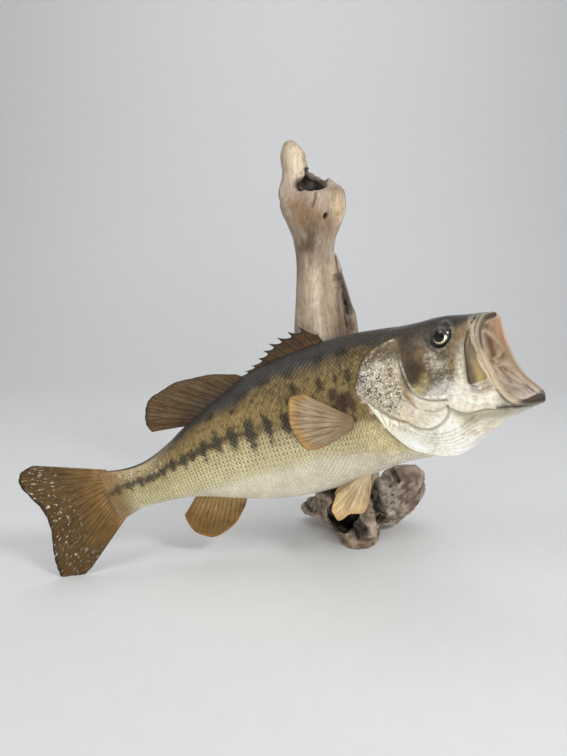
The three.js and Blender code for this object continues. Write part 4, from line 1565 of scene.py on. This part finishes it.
def makeGillCover(name, side, replaced):
    placesAt = betweenEdges(gillCover["front"], gillCover["rear"])

    def at(x, y):
        where, turn = placesAt(x, y)
        forward, _, up = headCoords(surfacePoint(where, turn))
        out = coverRise(forward, up) - 0.5 - 0.7 * smoothStep(0.3, 0, y)
        return surfacePoint(where, onSide(turn, side), out)

    def thick(x, y, face):
        return 0.5 * taper(x, 0.03) * freeEdge(y, 0.05) * np.where(face * side > 0, 1, 1.6)

    piece = closedSheet(name, gillCover["columns"], gillCover["rows"], at, thick)
    x, y = markOf(piece, "finX"), markOf(piece, "finY")
    where, turn = placesAt(x, y)
    turn = onSide(turn, side)
    flat = surfacePoint(where, turn)
    colour, _ = skinColour(where, turn, flat, True)
    colour = lay(colour, coverPaint["corner"], 0.6 * smoothStep(0.94, 0.99, y) * smoothStep(0.62, 0.5, x))
    paint(piece, settle(colour), glitterOnly(skinFinish(where, turn, flat, True)[:, 0]))
    dress(piece, skinMaterial, "skin", replaced)


def makeMembrane(name, side):
    # the pale flap under the gill cover, with its free edge over the breast
    placesAt = betweenEdges(gillFlap["inner"], gillFlap["outer"])

    def at(x, y):
        where, turn = placesAt(x, y)
        turn = onSide(turn, side)
        forward, _, up = headCoords(surfacePoint(where, turn))
        out = foldWave(forward, up)[0] * 0.5 * smoothStep(0.15, 0.4, x) + 0.3
        out = out + gillFlap["lift"] * smoothStep(0, 0.8, y) * smoothStep(1, 0.75, x)
        return surfacePoint(where, turn, out - 0.5)

    def thick(x, y, face):
        return 0.5 * taper(x, 0.05) * freeEdge(y, 0.1)

    piece = closedSheet(name, gillFlap["columns"], gillFlap["rows"], at, thick)
    x, y = markOf(piece, "finX"), markOf(piece, "finY")
    where, turn = placesAt(x, y)
    turn = onSide(turn, side)
    flat = surfacePoint(where, turn)
    forward, _, up = headCoords(flat)
    colour, _ = skinColour(where, turn, flat, True)
    colour = lay(colour, coverPaint["membrane"], 0.75 * smoothStep(0.3, 0.9, y))
    # painted shade in the creases between the folds, a little lighter on their ridges
    colour = colour * (1 + 0.1 * (foldWave(forward, up)[0] - 0.6) * smoothStep(0.2, 0.45, x))[:, None]
    colour = lay(colour, coverPaint["membraneRoot"], 0.6 * smoothStep(0.25, 0.0, x))
    paint(piece, settle(colour), glitterOnly(np.zeros(len(x))))
    dress(piece, skinMaterial, "skin")


def makeMaxilla(name, side, sideName, replaced):
    shift, outward = maxilla["shift"][sideName], side * headFrame[2]
    rear, front = (
        spline(fromSnout(*np.array([(a + shift, side * b, c) for a, b, c in maxilla[key]]).T))
        for key in ("rear", "front")
    )

    def at(x, y):
        ends = np.sqrt(near0to1(1 - np.maximum(0, (x - 0.72) / 0.28) ** 2.6))
        ends = ends * (0.45 + 0.55 * smoothStep(0.0, 0.35, x))
        y = 0.5 + (y - 0.5) * np.maximum(ends, 0.02)
        flat = rear(x) * (1 - y)[:, None] + front(x) * y[:, None]
        flat = flat - outward * ((0.6 + 3.0 * smoothStep(0.35, 0.0, x)) / 1000)[:, None]
        swell = 0.9 * hill(y, 0.95, 0.09) - 0.8 * hill(y, 0.4, 0.3)
        return flat + outward * (swell * 1.2 / 1000)[:, None]

    def thick(x, y, face):
        return maxilla["thickness"] / 2 * taper(x, 0.2) * taper(y, 0.2)

    piece = closedSheet(name, maxilla["columns"], maxilla["rows"], at, thick)
    points = pointsOf(piece)
    x, y = markOf(piece, "finX"), markOf(piece, "finY")
    small = noiseAt(points, 160, 6.0)
    share = smoothStep(0.25, 0.5, y + 0.1 * small) * smoothStep(0.25, 0.55, x)
    colour = lay(maxilla["bare"], maxilla["plate"], share)
    share = 0.9 * np.exp(-(((y - 0.64) / 0.26) ** 2 + ((x - 0.72) / 0.2) ** 2)) * (0.8 + small)
    colour = lay(colour, maxilla["yellow"], share)
    colour = lay(colour, maxilla["rearEdge"], 0.7 * hill(y, 0.04, 0.1))
    # the front ridge: pale, with a painted highlight along it
    colour = lay(colour, maxilla["frontEdgeHighlight"], 0.9 * smoothStep(0.92, 0.99, y) * smoothStep(0.3, 0.5, x))
    colour = lay(colour, maxilla["end"], smoothStep(0.86, 0.97, x))
    colour = colour * (1 + 0.22 * noiseAt(points, 130, 4.0))[:, None]
    paint(piece, settle(colour), glitterOnly(np.full(len(x), 0.08)))
    dress(piece, skinMaterial, "skin", replaced)


for sideName, side in (("Right", 1), ("Left", -1)):
    makeGillCover(f"gillCover{sideName}", side, f"gill_cover_{sideName.lower()}")
    makeMembrane(f"gillFlap{sideName}", side)
    makeMaxilla(f"maxilla{sideName}", side, sideName, f"maxilla_{sideName.lower()}")

# fins

pelvicLook = {
    "rays": 7, "base": (192, 174, 144), "tip": (186, 164, 126), "ray": (150, 128, 96),
    "rim": (182, 152, 106), "glossAndGlint": 0.1, "border": 0.12, "folds": 1.6,
}
# root and edge: place on the centreline, and millimetres over it and sideways
fins = {
    "softDorsal": {
        "node": "dorsal_fin_soft",
        "root": [(0.385, 66, 0), (0.33, 55, 0), (0.27, 43, 0), (0.216, 34, 0)],
        "edge": [
            (0.365, 72.5, 0), (0.3313, 77, 0), (0.3007, 80.9, 0), (0.262, 82.6, 0), (0.2259, 83.6, 0),
            (0.1986, 81.2, 0), (0.1689, 77.1, 0), (0.1485, 67.2, 0), (0.1377, 53, 0), (0.1424, 42.4, 0),
        ],
        "rays": 15, "base": (54, 40, 24), "tip": (76, 58, 30), "ray": (36, 28, 19), "rim": (52, 42, 28),
        "glossAndGlint": 0.12,
    },
    "analFin": {
        "node": "anal_fin",
        "root": [(0.305, -66, 0), (0.26, -58, 0), (0.22, -51, 0), (0.178, -45, 0)],
        "edge": [
            (0.29, -78, 0), (0.25, -94, 0), (0.2, -101, 0), (0.166, -100, 0), (0.142, -91, 0),
            (0.127, -78, 0), (0.128, -62, 0)
        ],
        "rays": 13, "base": (140, 116, 76), "tip": (106, 82, 46), "ray": (76, 56, 32),
        "rim": (150, 108, 46), "glossAndGlint": 0.12,
    },
    "tailFin": {
        "node": "tail_fin",
        "foot": (136, 108, 74),
        "root": [(0.012, 25, 0), (0.004, 12, 0), (0, -3, 0), (0.002, -18, 0), (0.008, -33, 0)],
        "edge": [
            (-0.13, 62.5, 2), (-0.158, 60, 3), (-0.171, 50, 3), (-0.166, 34, 4), (-0.156, 10, 4),
            (-0.158, -10, 4), (-0.174, -30, 5), (-0.184, -46, 7), (-0.187, -57, 8), (-0.184, -66.5, 8),
            (-0.178, -71.5, 8), (-0.165, -73.5, 8), (-0.146, -72.5, 8), (-0.116, -68, 7),
        ],
        "rays": 18, "base": (108, 82, 44), "tip": (78, 60, 34), "ray": (62, 47, 28), "rim": (50, 40, 28),
        "glossAndGlint": 0.75,
    },
    "pectoralRight": {
        "node": "pectoral_fin_right",
        "root": [(0.66, -9, 40), (0.656, -12.5, 40.5), (0.646, -16.5, 41)],
        "edge": [
            (0.545, 38, 62), (0.507, 39, 68), (0.49, 17, 72), (0.502, -12, 68), (0.536, -19, 65),
            (0.582, -20, 57)
        ],
        "rays": 14, "base": (124, 106, 82), "tip": (138, 122, 96), "ray": (76, 60, 44),
        "rim": (148, 114, 66), "glossAndGlint": 0.05, "border": 0.16,
    },
    "pectoralLeft": {
        "node": "pectoral_fin_left",
        "root": [(0.645, -28, -42), (0.638, -21, -42), (0.63, -15, -41)],
        "edge": [(0.7, -38, -88), (0.682, -57, -96), (0.655, -65, -98), (0.628, -60, -94), (0.61, -42, -84)],
        "rays": 12, "base": (132, 112, 86), "tip": (150, 126, 90), "ray": (84, 66, 48),
        "rim": (164, 128, 76), "glossAndGlint": 0.05, "border": 0.16,
    },
    "pelvicRight": {
        "node": "pelvic_fin_right",
        "root": [(0.598, -69, 17), (0.609, -70, 15), (0.62, -70, 13)],
        "edge": [
            (0.52, -82, 28), (0.5, -97, 32), (0.508, -108, 33), (0.542, -105, 30), (0.576, -108, 27),
            (0.608, -88, 19)
        ],
        **pelvicLook,
    },
    "pelvicLeft": {
        "node": "pelvic_fin_left",
        "root": [(0.598, -69, -17), (0.608, -70, -15), (0.618, -70, -13)],
        "edge": [
            (0.52, -84, -17), (0.5, -96, -15), (0.505, -104, -15), (0.538, -101, -15), (0.568, -103, -15),
            (0.598, -87, -14)
        ],
        **pelvicLook,
    },
}
finMake = {"thickness": 0.62, "rootThickness": 2.6, "rayHeight": 0.34, "perRay": 12, "rows": 34}


def inBody(rows):
    return spline(bodyFrame(*np.array(rows, float).T))


def rayPattern(x, y, count):
    # 1 on a ray and 0 between; each ray splits in two on its outer half
    spot = x * count - 0.5
    off = np.abs(spot - np.round(spot))
    split = 0.24 * smoothStep(0.35, 1.0, y)
    width = 0.12 - 0.03 * y
    return hill(off, split, width)


def makeFin(name, fin):
    root, edge = inBody(fin["root"]), inBody(fin["edge"])
    count = fin["rays"]

    def at(x, y):
        spot = x * count - 0.5
        notch = np.abs(spot - np.round(spot)) * 2
        reach = y * (1 - (0.008 * notch**2 + 0.008 * np.sin(x * 23 + 1.3)) * smoothStep(0.7, 1, y))
        flat = root(x) * (1 - reach)[:, None] + edge(x) * reach[:, None]
        wave = fin.get("folds", 0.35) * np.sin(x * count * 2.1) * smoothStep(0.1, 0.5, y) / 1000
        flat = flat + frameAt(0.5)[2] * wave[:, None]
        flat[:, 2] = np.maximum(flat[:, 2], 0.0008)
        return flat

    def thick(x, y, face):
        body = finMake["thickness"] + (
            finMake["rootThickness"] - finMake["thickness"]
        ) * (1 - near0to1(y / 0.3)) ** 2
        body = body / 2 + finMake["rayHeight"] * rayPattern(x, y, count) * (1 - 0.45 * y)
        return body * taper(x, 0.012) * np.where(y > 0.985, 0, 1) * smoothStep(-0.01, 0.03, y)

    piece = closedSheet(name, count * finMake["perRay"], finMake["rows"], at, thick)
    points = pointsOf(piece)
    x, y = markOf(piece, "finX"), markOf(piece, "finY")
    border = fin.get("border", 0.05)
    colour = lay(tone(*fin["base"]), tone(*fin["tip"]), smoothStep(0.1, 0.7, y))
    ragged = y + 0.03 * noiseAt(points, 60, 2.0)
    colour = lay(colour, tone(*fin["rim"]), 0.85 * smoothStep(1 - 1.5 * border, 1 - 0.3 * border, ragged))
    ragged = y + 0.08 * noiseAt(points, 160, 3.0)
    colour = lay(colour, tone(*fin.get("foot", fin["base"])), 0.85 * smoothStep(0.26, 0.05, ragged))
    shown = 0.7 * smoothStep(0.0, 0.12, y) * rayPattern(x, y, count)
    shown = shown * (1 - 0.6 * smoothStep(1 - border, 1, y))
    colour = lay(colour, tone(*fin["ray"]), shown)
    joints = 0.5 + 0.5 * np.sin(y * 120 + 3 * np.sin(x * count * 2))
    colour = colour * (1 + 0.25 * noiseAt(points, 90, 1.0) + 0.08 * joints * smoothStep(0.3, 0.6, y))[:, None]
    ends = smoothStep(0.1, 0.0, np.minimum(x, 1 - x)) * smoothStep(0.2, 0.4, y)
    # where the painted glints and the smoother finish go
    glossAndGlint = fin["glossAndGlint"] * np.maximum(smoothStep(0.4, 0.75, y), 0.8 * ends)
    paint(piece, settle(colour), glitterOnly(glossAndGlint))
    dress(piece, finMaterial, "fin", fin["node"])


def makeFinPaint():
    # fine streaks along the rays, and glints where the finish asks for them: painted pale streaks, with a
    # smoother finish there
    constants = {"Coat Weight": 0.05, "Coat Roughness": 0.15, "Specular IOR Level": 0.16}
    made, tree, shader = newMaterial("finPaint", constants)
    painted = attribute(tree, "paint").outputs["Color"]
    flecked = place(tree, flecks, {"Color": painted, "Scale": 700.0, "Amount": 0.4, "Warm": 0.05})
    x, y = attribute(tree, "finX").outputs["Fac"], attribute(tree, "finY").outputs["Fac"]

    def streaked(across, along, detail):
        spot = node(tree, "ShaderNodeCombineXYZ", {0: times(tree, x, across), 1: times(tree, y, along)})
        return noiseTexture(tree, spot.outputs[0], 1.0, detail).outputs[0]

    streaks = streaked(120.0, 5.0, 2.0)
    # darker and lighter streaks along the rays; the lightest are in part painted highlights
    tones = [(0.36, (0.55, 0.5, 0.44)), (0.52, (1.0, 1.0, 1.0)), (0.7, (1.22, 1.2, 1.14))]
    shade = ramp(tree, streaks, tones)
    shaded = blendColours(tree, 1.0, flecked["Color"], shade, "MULTIPLY")
    colour = blendColours(tree, 0.85, flecked["Color"], shaded)
    glintStreaks = ramp(tree, streaked(70.0, 16.0, 3.0), [(0.6, 0.0), (0.7, 1.0)])
    glint = times(tree, glintStreaks, finishParts(tree)[0])
    # painted glints: pale streaks laid into the colour, with lower roughness under them
    colour = blendColours(tree, glint, colour, (0.8, 0.77, 0.7, 1))
    tree.links.new(colour, shader.inputs["Base Color"])
    tree.links.new(ramp(tree, glint, [(0.0, 0.42), (0.5, 0.2)]), shader.inputs["Roughness"])
    addBump(tree, shader, plus(tree, flecked["Height"], times(tree, streaks, 1.5)), 0.45, 0.0006)
    return made


finMaterial = makeFinPaint()
for finName, fin in fins.items():
    makeFin(finName, fin)

spinyFin = {
    # each spine's root and tip: place on the centreline and height over it
    "spines": [
        (0.602, 70, 0.5863, 90), (0.582, 70, 0.5499, 101.5), (0.562, 70, 0.5205, 99.6),
        (0.541, 70, 0.4914, 97), (0.52, 69, 0.4676, 93.6), (0.501, 68, 0.4492, 88),
        (0.481, 67, 0.4312, 81.5), (0.46, 66, 0.4088, 76), (0.438, 65, 0.3872, 72.6),
        (0.412, 63, 0.375, 68.5),
    ],
    "sag": 0.8,  # how far up a spine the membrane behind it starts
    "spineThickness": 0.75,
    "perSpine": 24,
    "rows": 30,
    "low": tone(84, 62, 40),
    "high": tone(58, 44, 30),
    "edge": tone(20, 17, 14),
    "spine": tone(24, 19, 15),
}


def makeSpinyFin():
    spines = np.array(spinyFin["spines"])
    roots, tips = bodyFrame(spines[:, 0], spines[:, 1]), bodyFrame(spines[:, 2], spines[:, 3])
    last = len(spines) - 1

    def split(x):
        spot = near0to1(x) * last
        i = np.minimum(np.floor(spot).astype(int), last - 1)
        return i, (spot - i)[:, None]

    def at(x, y):
        # straight spines, with a membrane hung between each tip and a point up the next
        i, share = split(x)
        root = roots[i] * (1 - share) + roots[i + 1] * share
        low = roots[i] + (tips[i] - roots[i]) * spinyFin["sag"]
        sag = (tips[i + 1] - roots[i + 1]) * 0.1 * 4 * share * (1 - share)
        hung = low + (tips[i + 1] - low) * share - sag
        edge = hung + (tips[i] - low) * np.clip(1 - share / 0.09, 0, 1)
        return root * (1 - y)[:, None] + edge * y[:, None]

    def off(x):
        spot = x * last
        return np.abs(spot - np.round(spot))

    def thick(x, y, face):
        body = 0.3 + 0.8 * (1 - near0to1(y / 0.35)) ** 2
        body = body + spinyFin["spineThickness"] * hill(off(x), 0, 0.075) * (1 - 0.65 * y)
        return body * taper(x, 0.008) * np.where(y > 0.985, 0, 1)

    piece = closedSheet("spinyDorsal", last * spinyFin["perSpine"], spinyFin["rows"], at, thick)
    points = pointsOf(piece)
    x, y = markOf(piece, "finX"), markOf(piece, "finY")
    _, share = split(x)
    colour = lay(spinyFin["low"], spinyFin["high"], smoothStep(0.1, 0.7, y))
    colour = lay(colour, spinyFin["edge"], 0.9 * smoothStep(0.86, 0.99, y))
    colour = lay(colour, spinyFin["spine"], 0.85 * hill(off(x), 0, 0.07) * (0.7 + 0.3 * y))
    streaks = np.sin(share[:, 0] * 26 + 2 * np.sin(y * 9)) * smoothStep(0.9, 0.4, y)
    colour = colour * (1 + 0.3 * noiseAt(points, 110, 8.0) + 0.12 * streaks)[:, None]
    paint(piece, settle(colour), glitterOnly(np.zeros(len(x))))
    dress(piece, finMaterial, "fin", "dorsal_fin_spiny")


makeSpinyFin()

# driftwood

wood = {
    "voxel": 0.0016,
    "smoothing": 3,
    "grain": 0.55,
    "pits": 0.9,
    "pale": tone(156, 142, 128),
    "root": tone(146, 134, 122),
    "knob": tone(176, 162, 148),
    "dip": tone(58, 46, 42),
    "hollowShade": tone(22, 18, 17),
    "speck": tone(206, 190, 160),
    # hollows on the front, painted dark as shade: a line (x, z), half width and depth in millimetres, and how
    # dark the painted shade is
    "hollows": [
        ([(-66, 424), (-53, 424), (-40, 427)], 6.5, 9, 0.95), ([(-60, 431), (-54, 432)], 4, 4, 0.7),
        ([(-49, 414), (-50, 406), (-53, 399)], 1.5, 2.5, 0.6), ([(-38, 386), (-37, 389)], 2.2, 5, 1.0),
        ([(-24.5, 344), (-22, 316), (-18, 290), (-12, 262)], 1.2, 2.5, 0.8),
        ([(-17, 318), (-12, 300), (-9, 284)], 8.5, 5, 0.95), ([(-8, 274), (-5, 262)], 5, 2, 0.55),
        ([(-11, 290), (-8, 279)], 4.5, 2, 0.6), ([(-18, 37), (-10, 33), (0, 26), (5, 22)], 9, 13, 1.0),
        ([(-42, 74), (-28, 70), (-14, 62)], 9, 6, 0.9), ([(31, 66), (33, 45), (35, 18)], 9.5, 6, 1.0),
        ([(52, 79), (56, 73)], 4, 4, 0.8), ([(-61, 33), (-52, 22)], 3, 3, 0.8),
        ([(70, 40), (82, 46), (94, 60)], 2, 2, 0.6), ([(4, 12), (16, 9)], 2.2, 2.5, 0.8),
        ([(62, 62), (72, 70)], 2, 2, 0.5),
    ],
    "caves": [((-51, 22, 428), (20, 18, 17)), ((-14, -18, 42), (20, 26, 27))],
    # pushes that shape the outline: where (x, z), how far they reach, and by how much;
    # the last number is 1 for the back half alone, and -1 for the front
    "pushes": [
        (-54, 424, 13, 16, 0, 13, 1), (-36, 422, 12, 16, 0, 8, 1), (-20, 411, 11, 14, 3, 7, 0),
        (-86, 412, 14, 16, -6, 0, 0), (-70, 262, 12, 30, -4, 0, 0), (-69, 304, 10, 22, -1.5, 0, 0),
        (26, 12, 15, 26, 10, 0, -1), (-62, 440, 8, 12, 3, 0, 0), (1, 194, 10, 22, -9, 4, 0),
    ],
    # paint on the front: a line (x, z), width and colour
    "stains": [
        ([(-68, 400), (-64, 386)], 10, (136, 106, 76)), ([(-52, 388), (-38, 380)], 10, (126, 102, 76)),
        ([(-52, 374), (-58, 356), (-62, 330)], 10, (92, 78, 64)),
        ([(-54, 364), (-56, 352)], 6, (80, 66, 52)),
        ([(-46, 326), (-46, 300), (-44, 255)], 8, (206, 194, 174)),
        ([(-30, 330), (-30, 260)], 7, (176, 158, 136)), ([(-62, 340), (-60, 270)], 7, (160, 142, 122)),
        ([(-10, 268), (-8, 258)], 7, (128, 106, 88)),
        ([(-52, 69), (-42, 45), (-24, 16)], 6, (150, 134, 118)),
        ([(33, 84), (42, 62), (48, 34)], 9, (186, 176, 162)),
        ([(-18, 12), (6, 6), (26, 16)], 9, (138, 116, 98)), ([(18, 44), (24, 30)], 6, (120, 104, 84)),
        ([(70, 75), (80, 60)], 14, (128, 114, 104)), ([(-74, 460), (-70, 440)], 12, (206, 192, 168)),
        ([(-25, 400), (-20, 388)], 9, (206, 186, 156)),
    ],
}


def makeWoodPaint():
    made, tree, shader = newMaterial("weatheredWood", {"Roughness": 0.78, "Specular IOR Level": 0.25})
    where = objectPlace(tree)
    drawn = node(tree, "ShaderNodeMapping", {"Vector": where, "Scale": (1.0, 1.0, 0.16)}).outputs[0]
    fibres = noiseTexture(tree, drawn, 420.0, 6.0, 0.65).outputs[0]
    broad = noiseTexture(tree, drawn, 60.0, 5.0).outputs[0]
    patches = noiseTexture(tree, where, 26.0, 5.0).outputs[0]
    dots = node(tree, "ShaderNodeTexVoronoi", {"Vector": drawn, "Scale": 330.0}).outputs["Distance"]
    painted = attribute(tree, "paint").outputs["Color"]
    tones = [(0.3, (0.66, 0.6, 0.54)), (0.5, (0.97, 0.95, 0.92)), (0.7, (1.14, 1.13, 1.1))]
    toned = blendColours(tree, 1.0, painted, ramp(tree, fibres, tones), "MULTIPLY")
    tones = [(0.3, (0.74, 0.69, 0.63)), (0.55, (1.0, 1.0, 1.0)), (0.72, (1.12, 1.12, 1.1))]
    shaded = blendColours(tree, 1.0, toned, ramp(tree, broad, tones), "MULTIPLY")
    toned = blendColours(tree, 0.9, toned, shaded)
    brown = ramp(tree, patches, [(0.5, 0.0), (0.7, 0.35)])
    toned = blendColours(tree, brown, toned, (0.15, 0.1, 0.065, 1))
    speckle = ramp(tree, dots, [(0.1, 0.45), (0.2, 0.0)])
    toned = blendColours(tree, speckle, toned, (0.09, 0.065, 0.05, 1))
    tree.links.new(toned, shader.inputs["Base Color"])
    height = minus(tree, plus(tree, fibres, times(tree, broad, 1.2)), speckle)
    addBump(tree, shader, height, 0.6, 0.0012)
    return made


def makeWoodForm():
    # the plain form of the solid, as a fine even mesh
    bm = bmesh.new()
    bm.from_mesh(bpy.data.objects["driftwood"].data)
    bmesh.ops.remove_doubles(bm, verts=bm.verts, dist=1e-6)
    form = bpy.data.objects.new("driftwoodForm", keepMesh("driftwoodForm", bm))
    bpy.context.scene.collection.objects.link(form)
    remesh = form.modifiers.new("voxels", "REMESH")
    remesh.mode = "VOXEL"
    remesh.voxel_size = wood["voxel"]
    graph = bpy.context.evaluated_depsgraph_get()
    fine = bpy.data.meshes.new_from_object(form.evaluated_get(graph))
    bpy.data.objects.remove(form)
    bm = bmesh.new()
    bm.from_mesh(fine)
    for _ in range(wood["smoothing"]):
        bmesh.ops.smooth_vert(
            bm, verts=bm.verts, factor=0.5, use_axis_x=True, use_axis_y=True, use_axis_z=True
        )
    bm.normal_update()
    return bm


def makeWood():
    bm = makeWoodForm()
    points = np.array([vert.co[:] for vert in bm.verts])
    normals = np.array([vert.normal[:] for vert in bm.verts])
    x, z = points[:, 0] * 1000, points[:, 2] * 1000
    low = 1 - smoothStep(60, 110, z)
    ridges = np.abs(noiseAt(points * [1, 1, 0.3], 70, 1.0)) * 2
    knobs = noiseAt(points, 75, 13.0) + 0.6 * noiseAt(points, 170, 15.0)
    broad = noiseAt(points * [1, 1, 0.4], 30, 9.0)
    pits = smoothStep(0.38, 0.62, noiseAt(points, 230, 6.0)) * (0.25 + 0.6 * low)
    depth = 0.5 + wood["grain"] * ridges * (0.4 + low) + 0.5 * (0.5 - broad)
    depth = depth + low * 2.2 * (0.6 - knobs) * 0.8 + wood["pits"] * pits
    # painted shade in the pits and in the dips between the knobs, which are dug deeper
    dark = 0.85 * pits + 0.5 * low * smoothStep(0.15, -0.5, knobs)
    front = smoothStep(0.5, 0.1, normals[:, 1])
    rough = 2.2 * noiseAt(points, 160, 25.0) + 1.2 * noiseAt(points, 330, 27.0)
    for line, width, deep, strength in wood["hollows"]:
        away = nearLine(x, z, line)[0] + rough * min(1, width / 5)
        sunk = smoothStep(1.25 * width, 0.55 * width, away) * front
        depth = depth + sunk * deep * (1 + 0.25 * rough * (width > 3))
        # painted shade in the hollows, on the faces turned to the front
        dark = np.maximum(dark, strength * smoothStep(1.35 * width, 0.6 * width, away) * front)
    depth = depth + low * (0.9 * noiseAt(points, 420, 35.0) + 0.5)
    # painted shade inside the two big hollows
    for middle, size in wood["caves"]:
        towards = np.array(middle) / 1000 - points
        within = smoothStep(1.15, 0.95, np.linalg.norm(towards / (np.array(size) / 1000), axis=1))
        dark = np.maximum(dark, within * smoothStep(0.0, 0.3, (unit(towards) * normals).sum(axis=1)))
    floor = smoothStep(0.0, 0.004, points[:, 2])
    # the tip is blunter than a plain taper
    middle = np.c_[np.interp(z, [440, 475], [-73, -79]), np.interp(z, [440, 475], [35, 38])] / 1000
    points[:, :2] += (points[:, :2] - middle) * (0.75 * smoothStep(438, 470, z))[:, None]
    deepness = points[:, 1]
    halves = {0: 1, 1: smoothStep(0.02, 0.032, deepness), -1: smoothStep(0.012, 0.0, deepness)}
    for atX, atZ, wide, high, pushX, pushZ, behind in wood["pushes"]:
        share = np.exp(-(((x - atX) / wide) ** 2) - ((z - atZ) / high) ** 2) * halves[behind]
        points = points + share[:, None] * np.array([pushX, 0, pushZ]) / 1000
    points = points - normals * (np.maximum(depth, 0) * floor / 1000)[:, None]
    points[:, 2] = np.maximum(points[:, 2], 0)
    for vert, point in zip(bm.verts, points):
        vert.co = point
    piece = finishMesh("driftwoodPiece", keepMesh("driftwoodPiece", bm))
    colour = lay(wood["pale"], wood["root"], 0.85 * low)
    for line, width, shade in wood["stains"]:
        away = nearLine(x, z, line)[0] + 1.6 * rough + 3 * knobs
        colour = lay(colour, tone(*shade), 0.8 * hill(np.maximum(away, 0), 0, width) * front)
    colour = lay(colour, wood["knob"], 0.6 * low * smoothStep(0.1, 0.6, knobs))
    dips = noiseAt(points, 120, 61.0) + 0.5 * noiseAt(points, 330, 63.0)
    colour = lay(colour, wood["dip"], 0.6 * low * smoothStep(0.1, 0.7, dips))
    # painted shade: in the pits, the dips between the knobs, the hollows and the two big hollows' insides
    colour = lay(colour, wood["hollowShade"], near0to1(dark * (0.95 + 0.12 * rough)))
    specks = smoothStep(0.2, 0.45, noiseAt(points, 420, 51.0))
    specks = specks * np.exp(-(((x - 30) / 12) ** 2) - ((z - 13) / 15) ** 2) * front
    colour = lay(colour, wood["speck"], 0.85 * specks)
    paint(piece, settle(colour))
    dress(piece, makeWoodPaint(), "driftwood", "driftwood")


makeWood()

# floor and backdrop


def makeStudio():
    reach, wallAt, bend = studio["reach"], studio["wallPlace"], studio["bend"]

    def at(u, v):
        x = (u - 0.5) * 2 * reach
        run = v * (reach + wallAt + studio["rise"])
        turnStart = reach + wallAt - bend
        arc = near0to1((run - turnStart) / (bend * math.pi / 2)) * math.pi / 2
        y = np.where(run < turnStart, run - reach, wallAt - bend + bend * np.sin(arc))
        over = np.maximum(0, run - turnStart - bend * math.pi / 2)
        z = np.where(run < turnStart, 0, bend * (1 - np.cos(arc)) + over)
        return np.c_[x, y, z]

    floor = gridMesh("studioSweep", 2, 400, at)
    made, tree, shader = newMaterial("palePaper", {"Roughness": 0.9, "Specular IOR Level": 0.15})
    height = node(tree, "ShaderNodeSeparateXYZ", {0: objectPlace(tree)}).outputs[2]
    shade = ramp(tree, height, [(0.05, studio["floorPaint"]), (0.4, studio["wallPaint"])])
    flecked = place(tree, flecks, {"Color": shade, "Scale": 40.0, "Amount": 0.04, "Warm": 0.0})
    tree.links.new(flecked["Color"], shader.inputs["Base Color"])
    floor.data.materials.append(made)


makeStudio()
print("made the floor")
bpy.context.view_layer.update()
